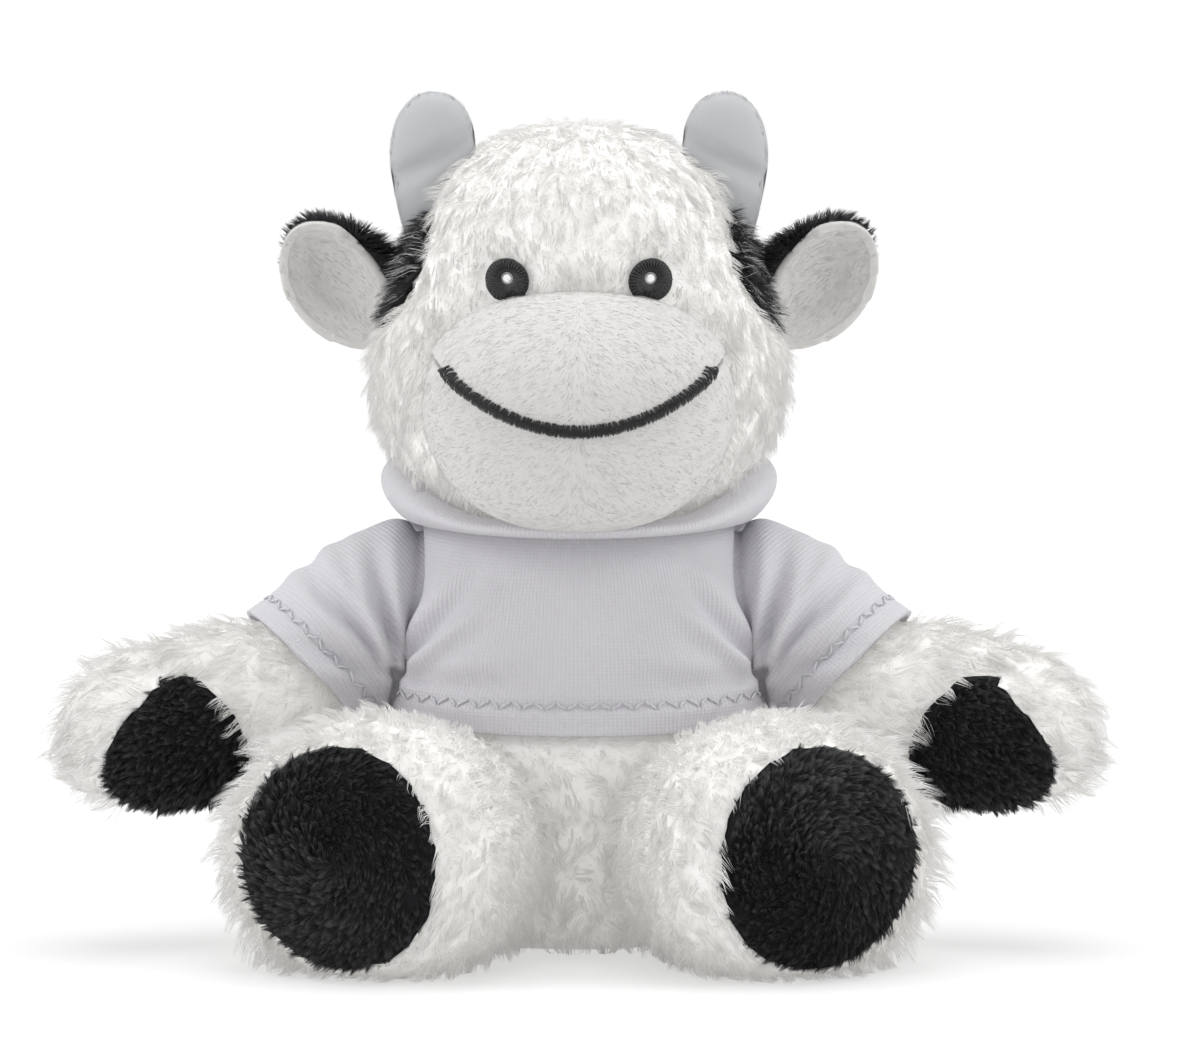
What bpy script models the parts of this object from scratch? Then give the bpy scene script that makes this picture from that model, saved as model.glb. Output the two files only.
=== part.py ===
# A sitting plush cow in a small hooded top, built from its sewn pieces.
# Metres, +Z up. The cow sits on z = 0 and looks along -Y, so its own left side is +X.

import math

import bmesh
import bpy
from mathutils import Matrix, Vector
from mathutils.bvhtree import BVHTree

# Sewing and fitting
SEAM_GAP = 0.0003  # between two pieces that touch
STUFFING_GAP = 0.0006  # between a skin and what fills it
CUT_OVERRUN = 0.006  # how far a cutter runs past what it cuts
FLAT_DEPTH = 0.0005  # how deep the floor presses a soft form flat
RELIEF_STEP = math.radians(25)  # spacing of the cuts that let a limb turn
PLUSH_THICKNESS = 0.0028  # long pile fabric, pressed
VELBOA_THICKNESS = 0.0015  # short pile fabric of the muzzle, horns and ears
JERSEY_THICKNESS = 0.0012  # knitted fabric of the hooded top
THREAD_THICKNESS = 0.0010  # embroidery standing on the fabric

# Torso
TORSO_WIDTH = 0.0740
TORSO_DEPTH = 0.0710
TORSO_HEIGHT = 0.0890
NECK_HEIGHT = 0.0790  # where the head is sewn on
TORSO_SHARES = (
    # along, side, front, back
    (0.000, 0.00, 0.00, 0.00),
    (0.010, 0.70, 0.64, 0.67),
    (0.060, 0.92, 0.86, 0.88),
    (0.170, 1.00, 0.99, 0.95),
    (0.330, 1.00, 1.00, 0.95),
    (0.480, 0.96, 0.93, 0.92),
    (0.620, 0.905, 0.86, 0.865),
    (0.740, 0.825, 0.78, 0.79),
    (0.855, 0.70, 0.68, 0.695),
    (0.950, 0.48, 0.48, 0.50),
    (1.000, 0.00, 0.00, 0.00),
)

# Head
HEAD_WIDTH = 0.0710
HEAD_DEPTH = 0.0660
HEAD_BOTTOM = 0.0740
HEAD_TOP = 0.1470
HEAD_FORWARD = 0.0020  # head's middle in front of the neck
HEAD_SHARES = (
    (0.000, 0.00, 0.00, 0.00),
    (0.030, 0.48, 0.46, 0.48),
    (0.100, 0.76, 0.72, 0.74),
    (0.200, 0.905, 0.88, 0.88),
    (0.330, 0.99, 0.98, 0.97),
    (0.475, 1.00, 1.00, 1.00),
    (0.640, 0.92, 0.97, 0.97),
    (0.790, 0.765, 0.84, 0.86),
    (0.920, 0.53, 0.58, 0.60),
    (1.000, 0.00, 0.00, 0.00),
)
PATCH_DEPTH = 0.0330  # black panel round the root of an ear and a horn
PATCH_HEIGHT = 0.0220
PATCH_CENTRE_HEIGHT = 0.1215
PATCH_BACKWARD = 0.0010
PATCH_INNER_REACH = 0.0150  # the panel is cut no nearer to the head's middle

# Muzzle: an upper nose lobe and a lower chin lobe, parted by the smile
NOSE_WIDTH = 0.0572
NOSE_DEPTH = 0.0480
NOSE_BOTTOM = 0.0865
NOSE_TOP = 0.1225
NOSE_FORWARD = 0.0330
NOSE_SHARES = (
    (0.000, 0.00, 0.00, 0.00),
    (0.100, 0.62, 0.66, 0.60),
    (0.280, 0.89, 0.93, 0.90),
    (0.500, 1.00, 1.00, 1.00),
    (0.720, 0.90, 0.85, 0.90),
    (0.900, 0.60, 0.54, 0.60),
    (1.000, 0.00, 0.00, 0.00),
)
CHIN_WIDTH = 0.0562
CHIN_DEPTH = 0.0390
CHIN_BOTTOM = 0.0770
CHIN_TOP = 0.1215
CHIN_FORWARD = 0.0355
CHIN_SHARES = (
    (0.000, 0.00, 0.00, 0.00),
    (0.080, 0.59, 0.74, 0.56),
    (0.250, 0.87, 0.93, 0.87),
    (0.430, 0.99, 1.00, 0.98),
    (0.620, 1.00, 0.97, 1.00),
    (0.790, 0.88, 0.84, 0.88),
    (0.920, 0.58, 0.54, 0.58),
    (1.000, 0.00, 0.00, 0.00),
)
MUZZLE_FULLNESS = 0.86
SMILE_HEIGHT = 0.0988  # lowest point of the mouth line
SMILE_RISE = 0.0101  # how much higher its two ends are
SMILE_SPAN = NOSE_WIDTH * 0.829
SMILE_THICKNESS = 0.0020
SMILE_CLEARANCE = 0.0008
SMILE_POINTS = 15

# Eyes, embroidered on the face
EYE_SPACING = 0.0257
EYE_WIDTH = 0.0080
EYE_TALLNESS = 0.0078
EYE_HEIGHT = 0.1228
HIGHLIGHT_DIAMETER = 0.0015
HIGHLIGHT_RAISED = 0.0004
FACE_REACH = 0.0700  # how far in front of the neck the face's cutters start

# Horns
HORN_WIDTH = 0.0165
HORN_THICKNESS = 0.0092
HORN_SPREAD_SHARES = (0.387, 0.363)  # of the head's width, root and tip
HORN_ROOT = Vector((HEAD_WIDTH * HORN_SPREAD_SHARES[0], 0.0010, 0.1240))
HORN_TIP = Vector((HEAD_WIDTH * HORN_SPREAD_SHARES[1], 0.0000, 0.1535))
HORN_SHARES = (
    (0.000, 0.00, 0.00, 0.00),
    (0.050, 0.48, 0.62, 0.62),
    (0.320, 0.76, 0.95, 0.95),
    (0.600, 1.00, 1.02, 1.02),
    (0.840, 0.85, 0.84, 0.84),
    (0.965, 0.46, 0.52, 0.52),
    (1.000, 0.00, 0.00, 0.00),
)

# Ears: a black back and a pale lining, cupped, hanging outward
EAR_LENGTH = 0.0270
EAR_WIDTH = 0.0202
EAR_DEPTH = 0.0150
EAR_SPREAD_SHARE = 0.606  # of the head's width
EAR_HINGE_SHARE = 0.486
EAR_CENTRE = Vector((HEAD_WIDTH * EAR_SPREAD_SHARE, -0.0010, 0.1190))
EAR_RISE = math.radians(56)  # of the ear's length above level, seen from the front
EAR_FACING = Vector((0.22, -0.93, -0.28))  # the way the hollow looks
EAR_LIP = 0.0012  # the lining's rim stands this far past the back's
EAR_HINGE = Vector((HEAD_WIDTH * EAR_HINGE_SHARE, 0.0010, 0.1190))
EAR_FOLD = math.radians(20)
EAR_SHARES = (
    (0.000, 0.00, 0.00, 0.00),
    (0.080, 0.50, 0.55, 0.55),
    (0.280, 0.88, 0.90, 0.90),
    (0.550, 1.00, 1.00, 1.00),
    (0.800, 0.74, 0.80, 0.80),
    (0.940, 0.36, 0.42, 0.42),
    (1.000, 0.00, 0.00, 0.00),
)

# Arms: a curved stuffed tube from the shoulder to the paw
ARM_DIAMETER = 0.0256
ARM_REACH_SHARES = (0.297, 0.595, 0.716, 1.223)  # of the torso's width, root to tip
ARM_HINGE_SHARE = 0.405
ARM_ROOT = Vector((TORSO_WIDTH * ARM_REACH_SHARES[0], 0.0020, 0.0680))
ARM_ELBOW = Vector((TORSO_WIDTH * ARM_REACH_SHARES[1], -0.0020, 0.0520))
ARM_WRIST = Vector((TORSO_WIDTH * ARM_REACH_SHARES[2], -0.0120, 0.0350))
ARM_TIP = Vector((TORSO_WIDTH * ARM_REACH_SHARES[3], -0.0210, 0.0410))
ARM_HINGE = Vector((TORSO_WIDTH * ARM_HINGE_SHARE, 0.0000, 0.0700))
ARM_RAISE = math.radians(45)
ARM_LOWER = math.radians(8)
ARM_ROOT_GAP = 0.0005  # wide enough for the arm to be raised
ARM_SHARES = (
    (0.000, 0.00, 0.00, 0.00),
    (0.050, 0.60, 0.60, 0.60),
    (0.260, 0.88, 0.88, 0.88),
    (0.560, 0.98, 1.00, 0.96),
    (0.780, 1.08, 1.32, 1.06),
    (0.930, 0.90, 1.10, 0.86),
    (0.985, 0.48, 0.60, 0.46),
    (1.000, 0.00, 0.00, 0.00),
)
PAW_PAD_DIAMETER = 0.0262
PAW_PAD_SHARE = 0.810  # of the arm's path
PAW_PAD_FACING = Vector((0.05, -0.80, -0.60))

# Legs: a stuffed tube that ends in an oval sole
LEG_WIDTH = 0.0470
LEG_DEPTH = 0.0430
LEG_ROOT = Vector((0.0150, -0.0080, 0.0180))
LEG_KNEE = Vector((0.0250, -0.0260, 0.0195))
LEG_ANKLE = Vector((0.0345, -0.0440, 0.0220))
LEG_END = Vector((0.0444, -0.0605, 0.0220))
LEG_HINGE = Vector((0.0200, -0.0280, 0.0270))
LEG_RAISE = math.radians(30)
LEG_SHARES = (
    (0.000, 0.00, 0.00, 0.00),
    (0.040, 0.54, 0.62, 0.62),
    (0.220, 0.76, 0.86, 0.86),
    (0.500, 0.90, 0.97, 0.96),
    (0.780, 1.04, 1.05, 1.04),
    (0.940, 1.00, 1.01, 1.00),
    (1.000, 0.68, 0.68, 0.68),
    (1.012, 0.00, 0.00, 0.00),
)
SOLE_WIDTH = 0.0405
SOLE_LENGTH = 0.0402
SOLE_TILT = math.radians(9)
SOLE_REACH = 0.0100  # how far back along the leg the sole's cutter goes

# Tail
TAIL_DIAMETER = 0.0050
TUFT_DIAMETER = 0.0085
TUFT_LENGTH = 0.0125
TAIL_ROOT = Vector((0.0000, 0.0300, 0.0270))
TAIL_BEND = Vector((0.0000, 0.0400, 0.0270))
TAIL_HANG = Vector((0.0000, 0.0450, 0.0200))
TAIL_TIP = Vector((0.0000, 0.0460, 0.0100))
TAIL_HINGE = Vector((0.0000, 0.0345, 0.0270))
TAIL_WAG = math.radians(24)
TAIL_SHARES = (
    (0.000, 0.00, 0.00, 0.00),
    (0.050, 0.70, 0.70, 0.70),
    (0.350, 1.00, 1.00, 1.00),
    (0.700, 1.00, 1.00, 1.00),
    (0.950, 0.80, 0.80, 0.80),
    (1.000, 0.00, 0.00, 0.00),
)

# Hooded top
TOP_EASE = 0.0008  # between the torso and the knitted fabric
HEM_HEIGHT = 0.0408
HEM_BAND = 0.0150  # height of the stretch that a raised thigh could meet
HEM_CLEARANCE = 0.0004  # more room there, because the thigh rubs along it
NECKLINE_HEIGHT = 0.0760
FOLD_HEIGHT = 0.0016
FOLD_WIDTH = 0.0042
FOLD_LENGTH = 0.0260
UNDERARM = Vector((0.0330, 0.0, 0.0490))
FOLD_SLOPES = (math.radians(52), math.radians(22), math.radians(-12))
SLEEVE_DIAMETER = 0.0290
SLEEVE_SHARES = (
    (0.000, 0.00, 0.00, 0.00),
    (0.020, 0.62, 0.62, 0.62),
    (0.110, 1.02, 1.10, 1.02),
    (0.240, 1.06, 1.16, 1.16),
    (0.360, 1.01, 1.08, 1.16),
    (0.470, 1.04, 1.08, 1.14),
    (0.610, 1.06, 1.10, 1.10),
    (0.650, 0.60, 0.60, 0.60),
    (0.660, 0.00, 0.00, 0.00),
)
CUFF_SHARE = 0.500  # of the arm's path
CUFF_FACING = Vector((0.72, -0.20, -0.66))

# Hood, thrown back: a flattened pouch, open at its rim, that hangs from the
# neck seam and is deep behind and shallow under the chin
HOOD_SEAM_HEIGHT = 0.0776
HOOD_SEAM_RADIUS = 0.0279
HOOD_RIM_RADIUS = 0.0335
HOOD_BULGE = 0.0030  # of the outer layer past a straight line up to the rim
HOOD_DEPTH_SHARE = 0.955  # of its width, measured from front to back
HOOD_FLARE_SHARE = 0.34  # how fast the inner layer spreads as it falls
HOOD_EASE = 0.0048  # between the top's back and the inner layer
HOOD_FRONT_TOP = 0.0776
HOOD_SIDE_TOP = 0.0872
HOOD_BACK_TOP = 0.0890
HOOD_FRONT_DROP = 0.0010
HOOD_BACK_DROP = 0.0235
HOOD_SEGMENTS = 14
HOOD_ROWS = 5
HOOD_CHIN_SHARE = 0.16  # of the half turn, the stretch under the chin

# How finely the cages are made
FORM_SEGMENTS = 10
LIMB_SEGMENTS = 8
SMALL_SEGMENTS = 6
TOP_SEGMENTS = 20
OVAL_SEGMENTS = 20

X_AXIS = Vector((1, 0, 0))
Y_AXIS = Vector((0, 1, 0))
Z_AXIS = Vector((0, 0, 1))
SIDES = {"left": 1, "right": -1}


def clear_scene():
    for thing in list(bpy.data.objects):
        bpy.data.objects.remove(thing, do_unlink=True)


def new_collection(name):
    group = bpy.data.collections.new(name)
    bpy.context.scene.collection.children.link(group)
    return group


clear_scene()
COW = new_collection("plush_cow")
CUTTERS = new_collection("cutters")


def material(name, colour, roughness):
    made = bpy.data.materials.new(name)
    made.use_nodes = True
    shader = made.node_tree.nodes["Principled BSDF"]
    shader.inputs["Base Color"].default_value = (*colour, 1)
    shader.inputs["Roughness"].default_value = roughness
    shader.inputs["Metallic"].default_value = 0
    return made


WHITE_PLUSH = material("white_plush", (0.90, 0.89, 0.87), 0.95)
BLACK_PLUSH = material("black_plush", (0.015, 0.015, 0.018), 0.90)
WHITE_VELBOA = material("white_velboa", (0.88, 0.87, 0.85), 0.90)
GREY_VELBOA = material("grey_velboa", (0.74, 0.75, 0.77), 0.90)
BLACK_THREAD = material("black_thread", (0.020, 0.020, 0.022), 0.60)
WHITE_THREAD = material("white_thread", (0.86, 0.86, 0.86), 0.60)
WHITE_JERSEY = material("white_jersey", (0.78, 0.78, 0.81), 0.85)
FIBRE_FILL = material("fibre_fill", (0.93, 0.93, 0.92), 0.95)


def mirrored(point, side):
    return Vector((point.x * side, point.y, point.z))


def add_object(name, mesh, group, finish=None):
    made = bpy.data.objects.new(name, mesh)
    group.objects.link(made)
    if finish:
        mesh.materials.append(finish)
    else:
        made.hide_render = True
        made.display_type = "WIRE"
    return made


# Paths: each gives, for a share of its length, a frame whose Z runs along it,
# whose X is the form's side and whose Y is the form's back or upper side.


def upright_path(bottom, top, forward):
    def frame(share):
        place = Vector((0, -forward, bottom + (top - bottom) * share))
        return Matrix.Translation(place)

    return frame


def straight_path(start, end, upper):
    along = (end - start).normalized()
    across = (upper - along * upper.dot(along)).normalized()
    turn = Matrix((across.cross(along), across, along)).transposed().to_4x4()

    def frame(share):
        return Matrix.Translation(start.lerp(end, share)) @ turn

    return frame


def curved_path(start, start_handle, end_handle, end):
    def point(share):
        rest = 1 - share
        return (
            start * rest**3
            + start_handle * (3 * rest**2 * share)
            + end_handle * (3 * rest * share**2)
            + end * share**3
        )

    def heading(share):
        rest = 1 - share
        slope = (
            (start_handle - start) * rest**2
            + (end_handle - start_handle) * (2 * rest * share)
            + (end - end_handle) * share**2
        )
        return slope.normalized()

    def frame(share):
        along = heading(share)
        upper = (Z_AXIS - along * Z_AXIS.dot(along)).normalized()
        turn = Matrix((upper.cross(along), upper, along)).transposed().to_4x4()
        return Matrix.Translation(point(share)) @ turn

    return frame


# Below 1, fullness turns a round section into one with fuller corners
def fuller(value, fullness):
    return math.copysign(abs(value) ** fullness, value)


# A soft form's cage: the rings of a sphere moved to the stations of a table.
# Subdivision draws a ring in, so the cage is larger by the same share.
def form_mesh(name, path, shares, width, depth, segments, fullness):
    rings = len(shares) - 2
    growth = 3 / (2 + math.cos(math.tau / segments))
    cage = bmesh.new()
    bmesh.ops.create_uvsphere(cage, u_segments=segments, v_segments=rings + 1, radius=1)
    for vertex in cage.verts:
        polar = math.acos(max(-1, min(1, -vertex.co.z)))
        along, side, front, back = shares[round(polar / math.pi * (rings + 1))]
        azimuth = math.atan2(vertex.co.y, vertex.co.x)
        across = side * width / 2 * growth * fuller(math.cos(azimuth), fullness)
        reach = (front if math.sin(azimuth) < 0 else back) * depth / 2 * growth
        reach *= fuller(math.sin(azimuth), fullness)
        vertex.co = path(along) @ Vector((across, reach, 0))
    bmesh.ops.recalc_face_normals(cage, faces=cage.faces)
    mesh = bpy.data.meshes.new(name)
    cage.to_mesh(mesh)
    cage.free()
    return mesh


def rounded(piece):
    modifier = piece.modifiers.new("rounded", "SUBSURF")
    modifier.levels = 1
    modifier.render_levels = 1
    return piece


def grown(piece, distance):
    modifier = piece.modifiers.new("grown", "DISPLACE")
    modifier.mid_level = 0
    modifier.strength = distance
    return piece


def thickened(piece, thickness, offset=-1):
    modifier = piece.modifiers.new("thickness", "SOLIDIFY")
    modifier.thickness = thickness
    modifier.offset = offset
    return piece


def cut(piece, cutter, operation="DIFFERENCE"):
    modifier = piece.modifiers.new(operation.lower(), "BOOLEAN")
    modifier.operation = operation
    modifier.object = cutter
    modifier.solver = "EXACT"
    return piece


def baked_mesh(piece):
    graph = bpy.context.evaluated_depsgraph_get()
    mesh = bpy.data.meshes.new_from_object(piece.evaluated_get(graph))
    bpy.data.objects.remove(piece)
    return mesh


class Form:
    # One soft shape, from which skins, fillings, patches and cutters are made

    def __init__(self, name, path, shares, width, depth, segments, fullness=1):
        self.name = name
        self.path = path
        self.mesh = form_mesh(name, path, shares, width, depth, segments, fullness)

    def solid(self, name, distance, finish=None):
        group = COW if finish else CUTTERS
        piece = add_object(name, self.mesh.copy(), group, finish)
        return grown(rounded(piece), distance)

    def skin(self, name, thickness, finish):
        piece = add_object(name, self.mesh.copy(), COW, finish)
        return thickened(rounded(piece), thickness)

    def filling(self, name, inset, finish=None):
        # The cage with its corners drawn in to the rounded surface: few faces,
        # because nothing shows it
        smooth = baked_mesh(self.solid(f"{name}_surface", 0))
        mesh = self.mesh.copy()
        for corner, drawn_in in zip(mesh.vertices, smooth.vertices):
            corner.co = drawn_in.co
        group = COW if finish else CUTTERS
        return grown(add_object(name, mesh, group, finish), -inset)

    def patch(self, name, distance, thickness, finish):
        # A thin layer that stands on the form
        piece = self.solid(name, distance, finish)
        return thickened(piece, thickness, offset=1)


def evaluated_tree(piece):
    graph = bpy.context.evaluated_depsgraph_get()
    return BVHTree.FromObject(piece, graph)


def block(name, low, high):
    box = bmesh.new()
    bmesh.ops.create_cube(box, size=1)
    size = high - low
    middle = (high + low) / 2
    bmesh.ops.transform(
        box,
        matrix=Matrix.Translation(middle) @ Matrix.Diagonal((*size, 1)),
        verts=box.verts,
    )
    mesh = bpy.data.meshes.new(name)
    box.to_mesh(mesh)
    box.free()
    return add_object(name, mesh, CUTTERS)


# An oval rod that runs from a point along a heading, to cut a panel's outline
def oval_rod(name, start, heading, length, width, height, upper=Z_AXIS, turn=0):
    frame = straight_path(start, start + heading.normalized() * length, upper)(1 / 2)
    rod = bmesh.new()
    bmesh.ops.create_cone(
        rod,
        cap_ends=True,
        segments=OVAL_SEGMENTS,
        radius1=1 / 2,
        radius2=1 / 2,
        depth=length,
    )
    shape = frame @ Matrix.Rotation(turn, 4, "Z") @ Matrix.Diagonal((width, height, 1, 1))
    bmesh.ops.transform(rod, matrix=shape, verts=rod.verts)
    bmesh.ops.recalc_face_normals(rod, faces=rod.faces)
    mesh = bpy.data.meshes.new(name)
    rod.to_mesh(mesh)
    rod.free()
    return add_object(name, mesh, CUTTERS)


# Everything on the far side of a plane
def half_space(name, point, facing, size):
    frame = straight_path(point, point + facing.normalized() * size, Z_AXIS)(1 / 2)
    slab = bmesh.new()
    bmesh.ops.create_cube(slab, size=size)
    bmesh.ops.transform(slab, matrix=frame, verts=slab.verts)
    mesh = bpy.data.meshes.new(name)
    slab.to_mesh(mesh)
    slab.free()
    return add_object(name, mesh, CUTTERS)


# Room to turn: a limb is cut away wherever it would meet the solid as it turns.
# Poses close together share one cutter, the hull round them, which cuts cleaner.
def relieved(pieces, name, solid, hinge, axis, lowest, highest, gap=SEAM_GAP):
    angles = {0.0}
    for limit in (lowest, highest):
        steps = math.ceil(abs(limit) / RELIEF_STEP)
        angles.update(limit * (number + 1) / steps for number in range(steps))
    groups = []
    for angle in sorted(angles):
        if groups and angle - groups[-1][-1] < RELIEF_STEP / 2:
            groups[-1].append(angle)
        else:
            groups.append([angle])
    for number, group in enumerate(groups):
        cutter = turned_cutter(f"{name}_relief_{number}", solid, hinge, axis, group, gap)
        for piece in pieces:
            cut(piece, cutter)


def turned_cutter(name, solid, hinge, axis, angles, gap):
    shape = bmesh.new()
    for angle in angles:
        mesh = baked_mesh(solid(name, gap))
        turn = Matrix.Rotation(-angle, 4, axis)
        mesh.transform(Matrix.Translation(hinge) @ turn @ Matrix.Translation(-hinge))
        shape.from_mesh(mesh)
    if len(angles) > 1:
        bmesh.ops.delete(shape, geom=shape.edges[:], context="EDGES_FACES")
        bmesh.ops.convex_hull(shape, input=shape.verts)
        within = [corner for corner in shape.verts if not corner.link_faces]
        bmesh.ops.delete(shape, geom=within, context="VERTS")
        bmesh.ops.recalc_face_normals(shape, faces=shape.faces)
    mesh = bpy.data.meshes.new(name)
    shape.to_mesh(mesh)
    shape.free()
    return add_object(name, mesh, CUTTERS)


def joint_empty(name, place, pieces):
    empty = bpy.data.objects.new(name, None)
    empty.location = place
    COW.objects.link(empty)
    for piece in pieces:
        piece.parent = empty
        piece.matrix_parent_inverse = Matrix.Translation(-place)
    return empty


def floor_cutter():
    reach = TORSO_WIDTH + TORSO_DEPTH
    low = Vector((-reach, -reach, -CUT_OVERRUN))
    return block("floor_cutter", low, Vector((reach, reach, 0)))


TORSO = Form(
    "torso_form",
    upright_path(-FLAT_DEPTH, TORSO_HEIGHT, 0),
    TORSO_SHARES,
    TORSO_WIDTH,
    TORSO_DEPTH,
    FORM_SEGMENTS,
)
HEAD = Form(
    "head_form",
    upright_path(HEAD_BOTTOM, HEAD_TOP, HEAD_FORWARD),
    HEAD_SHARES,
    HEAD_WIDTH,
    HEAD_DEPTH,
    FORM_SEGMENTS,
)
NOSE = Form(
    "nose_form",
    upright_path(NOSE_BOTTOM, NOSE_TOP, NOSE_FORWARD),
    NOSE_SHARES,
    NOSE_WIDTH,
    NOSE_DEPTH,
    FORM_SEGMENTS,
    MUZZLE_FULLNESS,
)
CHIN = Form(
    "chin_form",
    upright_path(CHIN_BOTTOM, CHIN_TOP, CHIN_FORWARD),
    CHIN_SHARES,
    CHIN_WIDTH,
    CHIN_DEPTH,
    FORM_SEGMENTS,
    MUZZLE_FULLNESS,
)
FLOOR = floor_cutter()
SKIN_TO_FILLING = PLUSH_THICKNESS + STUFFING_GAP
VELBOA_TO_FILLING = VELBOA_THICKNESS + STUFFING_GAP


def build_torso():
    reach = TORSO_WIDTH
    above = block(
        "neck_cutter",
        Vector((-reach, -reach, NECK_HEIGHT)),
        Vector((reach, reach, NECK_HEIGHT + reach)),
    )
    skin = TORSO.skin("torso_skin", PLUSH_THICKNESS, WHITE_PLUSH)
    cut(cut(skin, FLOOR), above)
    filling = TORSO.filling("torso_stuffing", SKIN_TO_FILLING, FIBRE_FILL)
    cut(filling, above)


# A sheet along the smile, deepened downward or upward, to part nose and chin
def smile_height(across):
    return SMILE_HEIGHT + SMILE_RISE * (across / (SMILE_SPAN / 2)) ** 2


def smile_cutter(name, shift, offset):
    reach = NOSE_WIDTH / 2 + CUT_OVERRUN
    sheet = bmesh.new()
    bmesh.ops.create_grid(sheet, x_segments=SMILE_POINTS - 1, y_segments=1, size=1)
    for vertex in sheet.verts:
        across = vertex.co.x * reach
        forward = NOSE_FORWARD + vertex.co.y * NOSE_DEPTH
        vertex.co = Vector((across, -forward, smile_height(across) + shift))
    bmesh.ops.recalc_face_normals(sheet, faces=sheet.faces)
    mesh = bpy.data.meshes.new(name)
    sheet.to_mesh(mesh)
    sheet.free()
    upward = mesh.polygons[0].normal.z > 0
    cutter = add_object(name, mesh, CUTTERS)
    depth = NOSE_TOP - CHIN_BOTTOM
    return thickened(cutter, depth, offset if upward else -offset)


def build_muzzle():
    head_solid = HEAD.solid("head_seat", SEAM_GAP)
    under = smile_cutter("under_smile", 0, -1)
    over = smile_cutter("over_smile", -SEAM_GAP, 1)
    nose = NOSE.skin("nose_panel", VELBOA_THICKNESS, WHITE_VELBOA)
    cut(cut(nose, head_solid), under)
    chin = CHIN.skin("chin_panel", VELBOA_THICKNESS, WHITE_VELBOA)
    cut(cut(chin, head_solid), over)
    nose_filling = NOSE.filling("nose_filling", VELBOA_TO_FILLING)
    cut(nose_filling, under)
    chin_filling = CHIN.filling("chin_filling", VELBOA_TO_FILLING)
    return [nose, chin], [nose_filling, chin_filling]


def patch_rod(name, side, extra):
    start = Vector((side * PATCH_INNER_REACH, PATCH_BACKWARD, PATCH_CENTRE_HEIGHT))
    return oval_rod(
        name,
        start,
        X_AXIS * side,
        HEAD_WIDTH / 2,
        PATCH_DEPTH + extra,
        PATCH_HEIGHT + extra,
    )


def build_head(muzzle_fillings):
    reach = HEAD_WIDTH
    below = block(
        "head_bottom_cutter",
        Vector((-reach, -reach, HEAD_BOTTOM - reach)),
        Vector((reach, reach, NECK_HEIGHT + SEAM_GAP)),
    )
    skin = HEAD.skin("head_skin", PLUSH_THICKNESS, WHITE_PLUSH)
    cut(skin, below)
    cut(skin, NOSE.solid("nose_opening", -VELBOA_THICKNESS))
    cut(skin, CHIN.solid("chin_opening", -VELBOA_THICKNESS))
    pieces = [skin]
    for label, side in SIDES.items():
        patch = HEAD.skin(f"{label}_head_patch", PLUSH_THICKNESS, BLACK_PLUSH)
        cut(patch, patch_rod(f"{label}_patch_outline", side, -SEAM_GAP), "INTERSECT")
        cut(skin, patch_rod(f"{label}_patch_opening", side, SEAM_GAP))
        pieces.append(patch)
    filling = HEAD.filling("head_stuffing", SKIN_TO_FILLING, FIBRE_FILL)
    for lump in muzzle_fillings:
        cut(filling, lump, "UNION")
    cut(filling, below)
    pieces.append(filling)
    return pieces


def build_eyes():
    muzzle = NOSE.solid("eye_muzzle_cutter", SEAM_GAP)
    pieces = []
    for label, side in SIDES.items():
        start = Vector((side * EYE_SPACING / 2, -FACE_REACH, EYE_HEIGHT))
        spot = start + Z_AXIS * HIGHLIGHT_RAISED
        eye = HEAD.patch(f"{label}_eye", SEAM_GAP, THREAD_THICKNESS, BLACK_THREAD)
        oval = oval_rod(f"{label}_eye_outline", start, Y_AXIS, FACE_REACH, EYE_WIDTH, EYE_TALLNESS)
        hole_size = HIGHLIGHT_DIAMETER + 2 * SEAM_GAP
        hole = oval_rod(f"{label}_eye_hole", spot, Y_AXIS, FACE_REACH, hole_size, hole_size)
        cut(eye, oval, "INTERSECT")
        cut(eye, hole)
        cut(eye, muzzle)
        glint = HEAD.patch(
            f"{label}_eye_highlight", SEAM_GAP, THREAD_THICKNESS, WHITE_THREAD
        )
        dot = oval_rod(
            f"{label}_highlight_outline",
            spot,
            Y_AXIS,
            FACE_REACH,
            HIGHLIGHT_DIAMETER,
            HIGHLIGHT_DIAMETER,
        )
        cut(glint, dot, "INTERSECT")
        pieces += [eye, glint]
    return pieces


# The mouth line is a tube laid on the nose lobe's lower edge
def build_smile():
    tree = evaluated_tree(NOSE.solid("smile_surface", 0))
    stand_off = SMILE_CLEARANCE + SMILE_THICKNESS / 2
    curve = bpy.data.curves.new("smile", "CURVE")
    curve.dimensions = "3D"
    curve.bevel_depth = SMILE_THICKNESS / 2
    curve.bevel_resolution = 1
    curve.use_fill_caps = True
    spline = curve.splines.new("POLY")
    spline.points.add(SMILE_POINTS - 1)
    for number, point in enumerate(spline.points):
        across = SMILE_SPAN * (number / (SMILE_POINTS - 1) - 1 / 2)
        ray = Vector((across, -FACE_REACH, smile_height(across)))
        place, normal, _, _ = tree.ray_cast(ray, Y_AXIS)
        point.co = (*(place + normal * stand_off), 1)
    tube = bpy.data.objects.new("smile", curve)
    COW.objects.link(tube)
    curve.materials.append(BLACK_THREAD)
    return [tube]


def build_horns():
    seat = HEAD.solid("horn_seat", SEAM_GAP)
    pieces = []
    for label, side in SIDES.items():
        form = Form(
            f"{label}_horn_form",
            straight_path(mirrored(HORN_ROOT, side), mirrored(HORN_TIP, side), Y_AXIS),
            HORN_SHARES,
            HORN_WIDTH,
            HORN_THICKNESS,
            SMALL_SEGMENTS,
        )
        skin = form.skin(f"{label}_horn_skin", VELBOA_THICKNESS, GREY_VELBOA)
        filling = form.filling(f"{label}_horn_stuffing", VELBOA_TO_FILLING, FIBRE_FILL)
        pieces += [cut(skin, seat), cut(filling, seat)]
    return pieces


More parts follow.
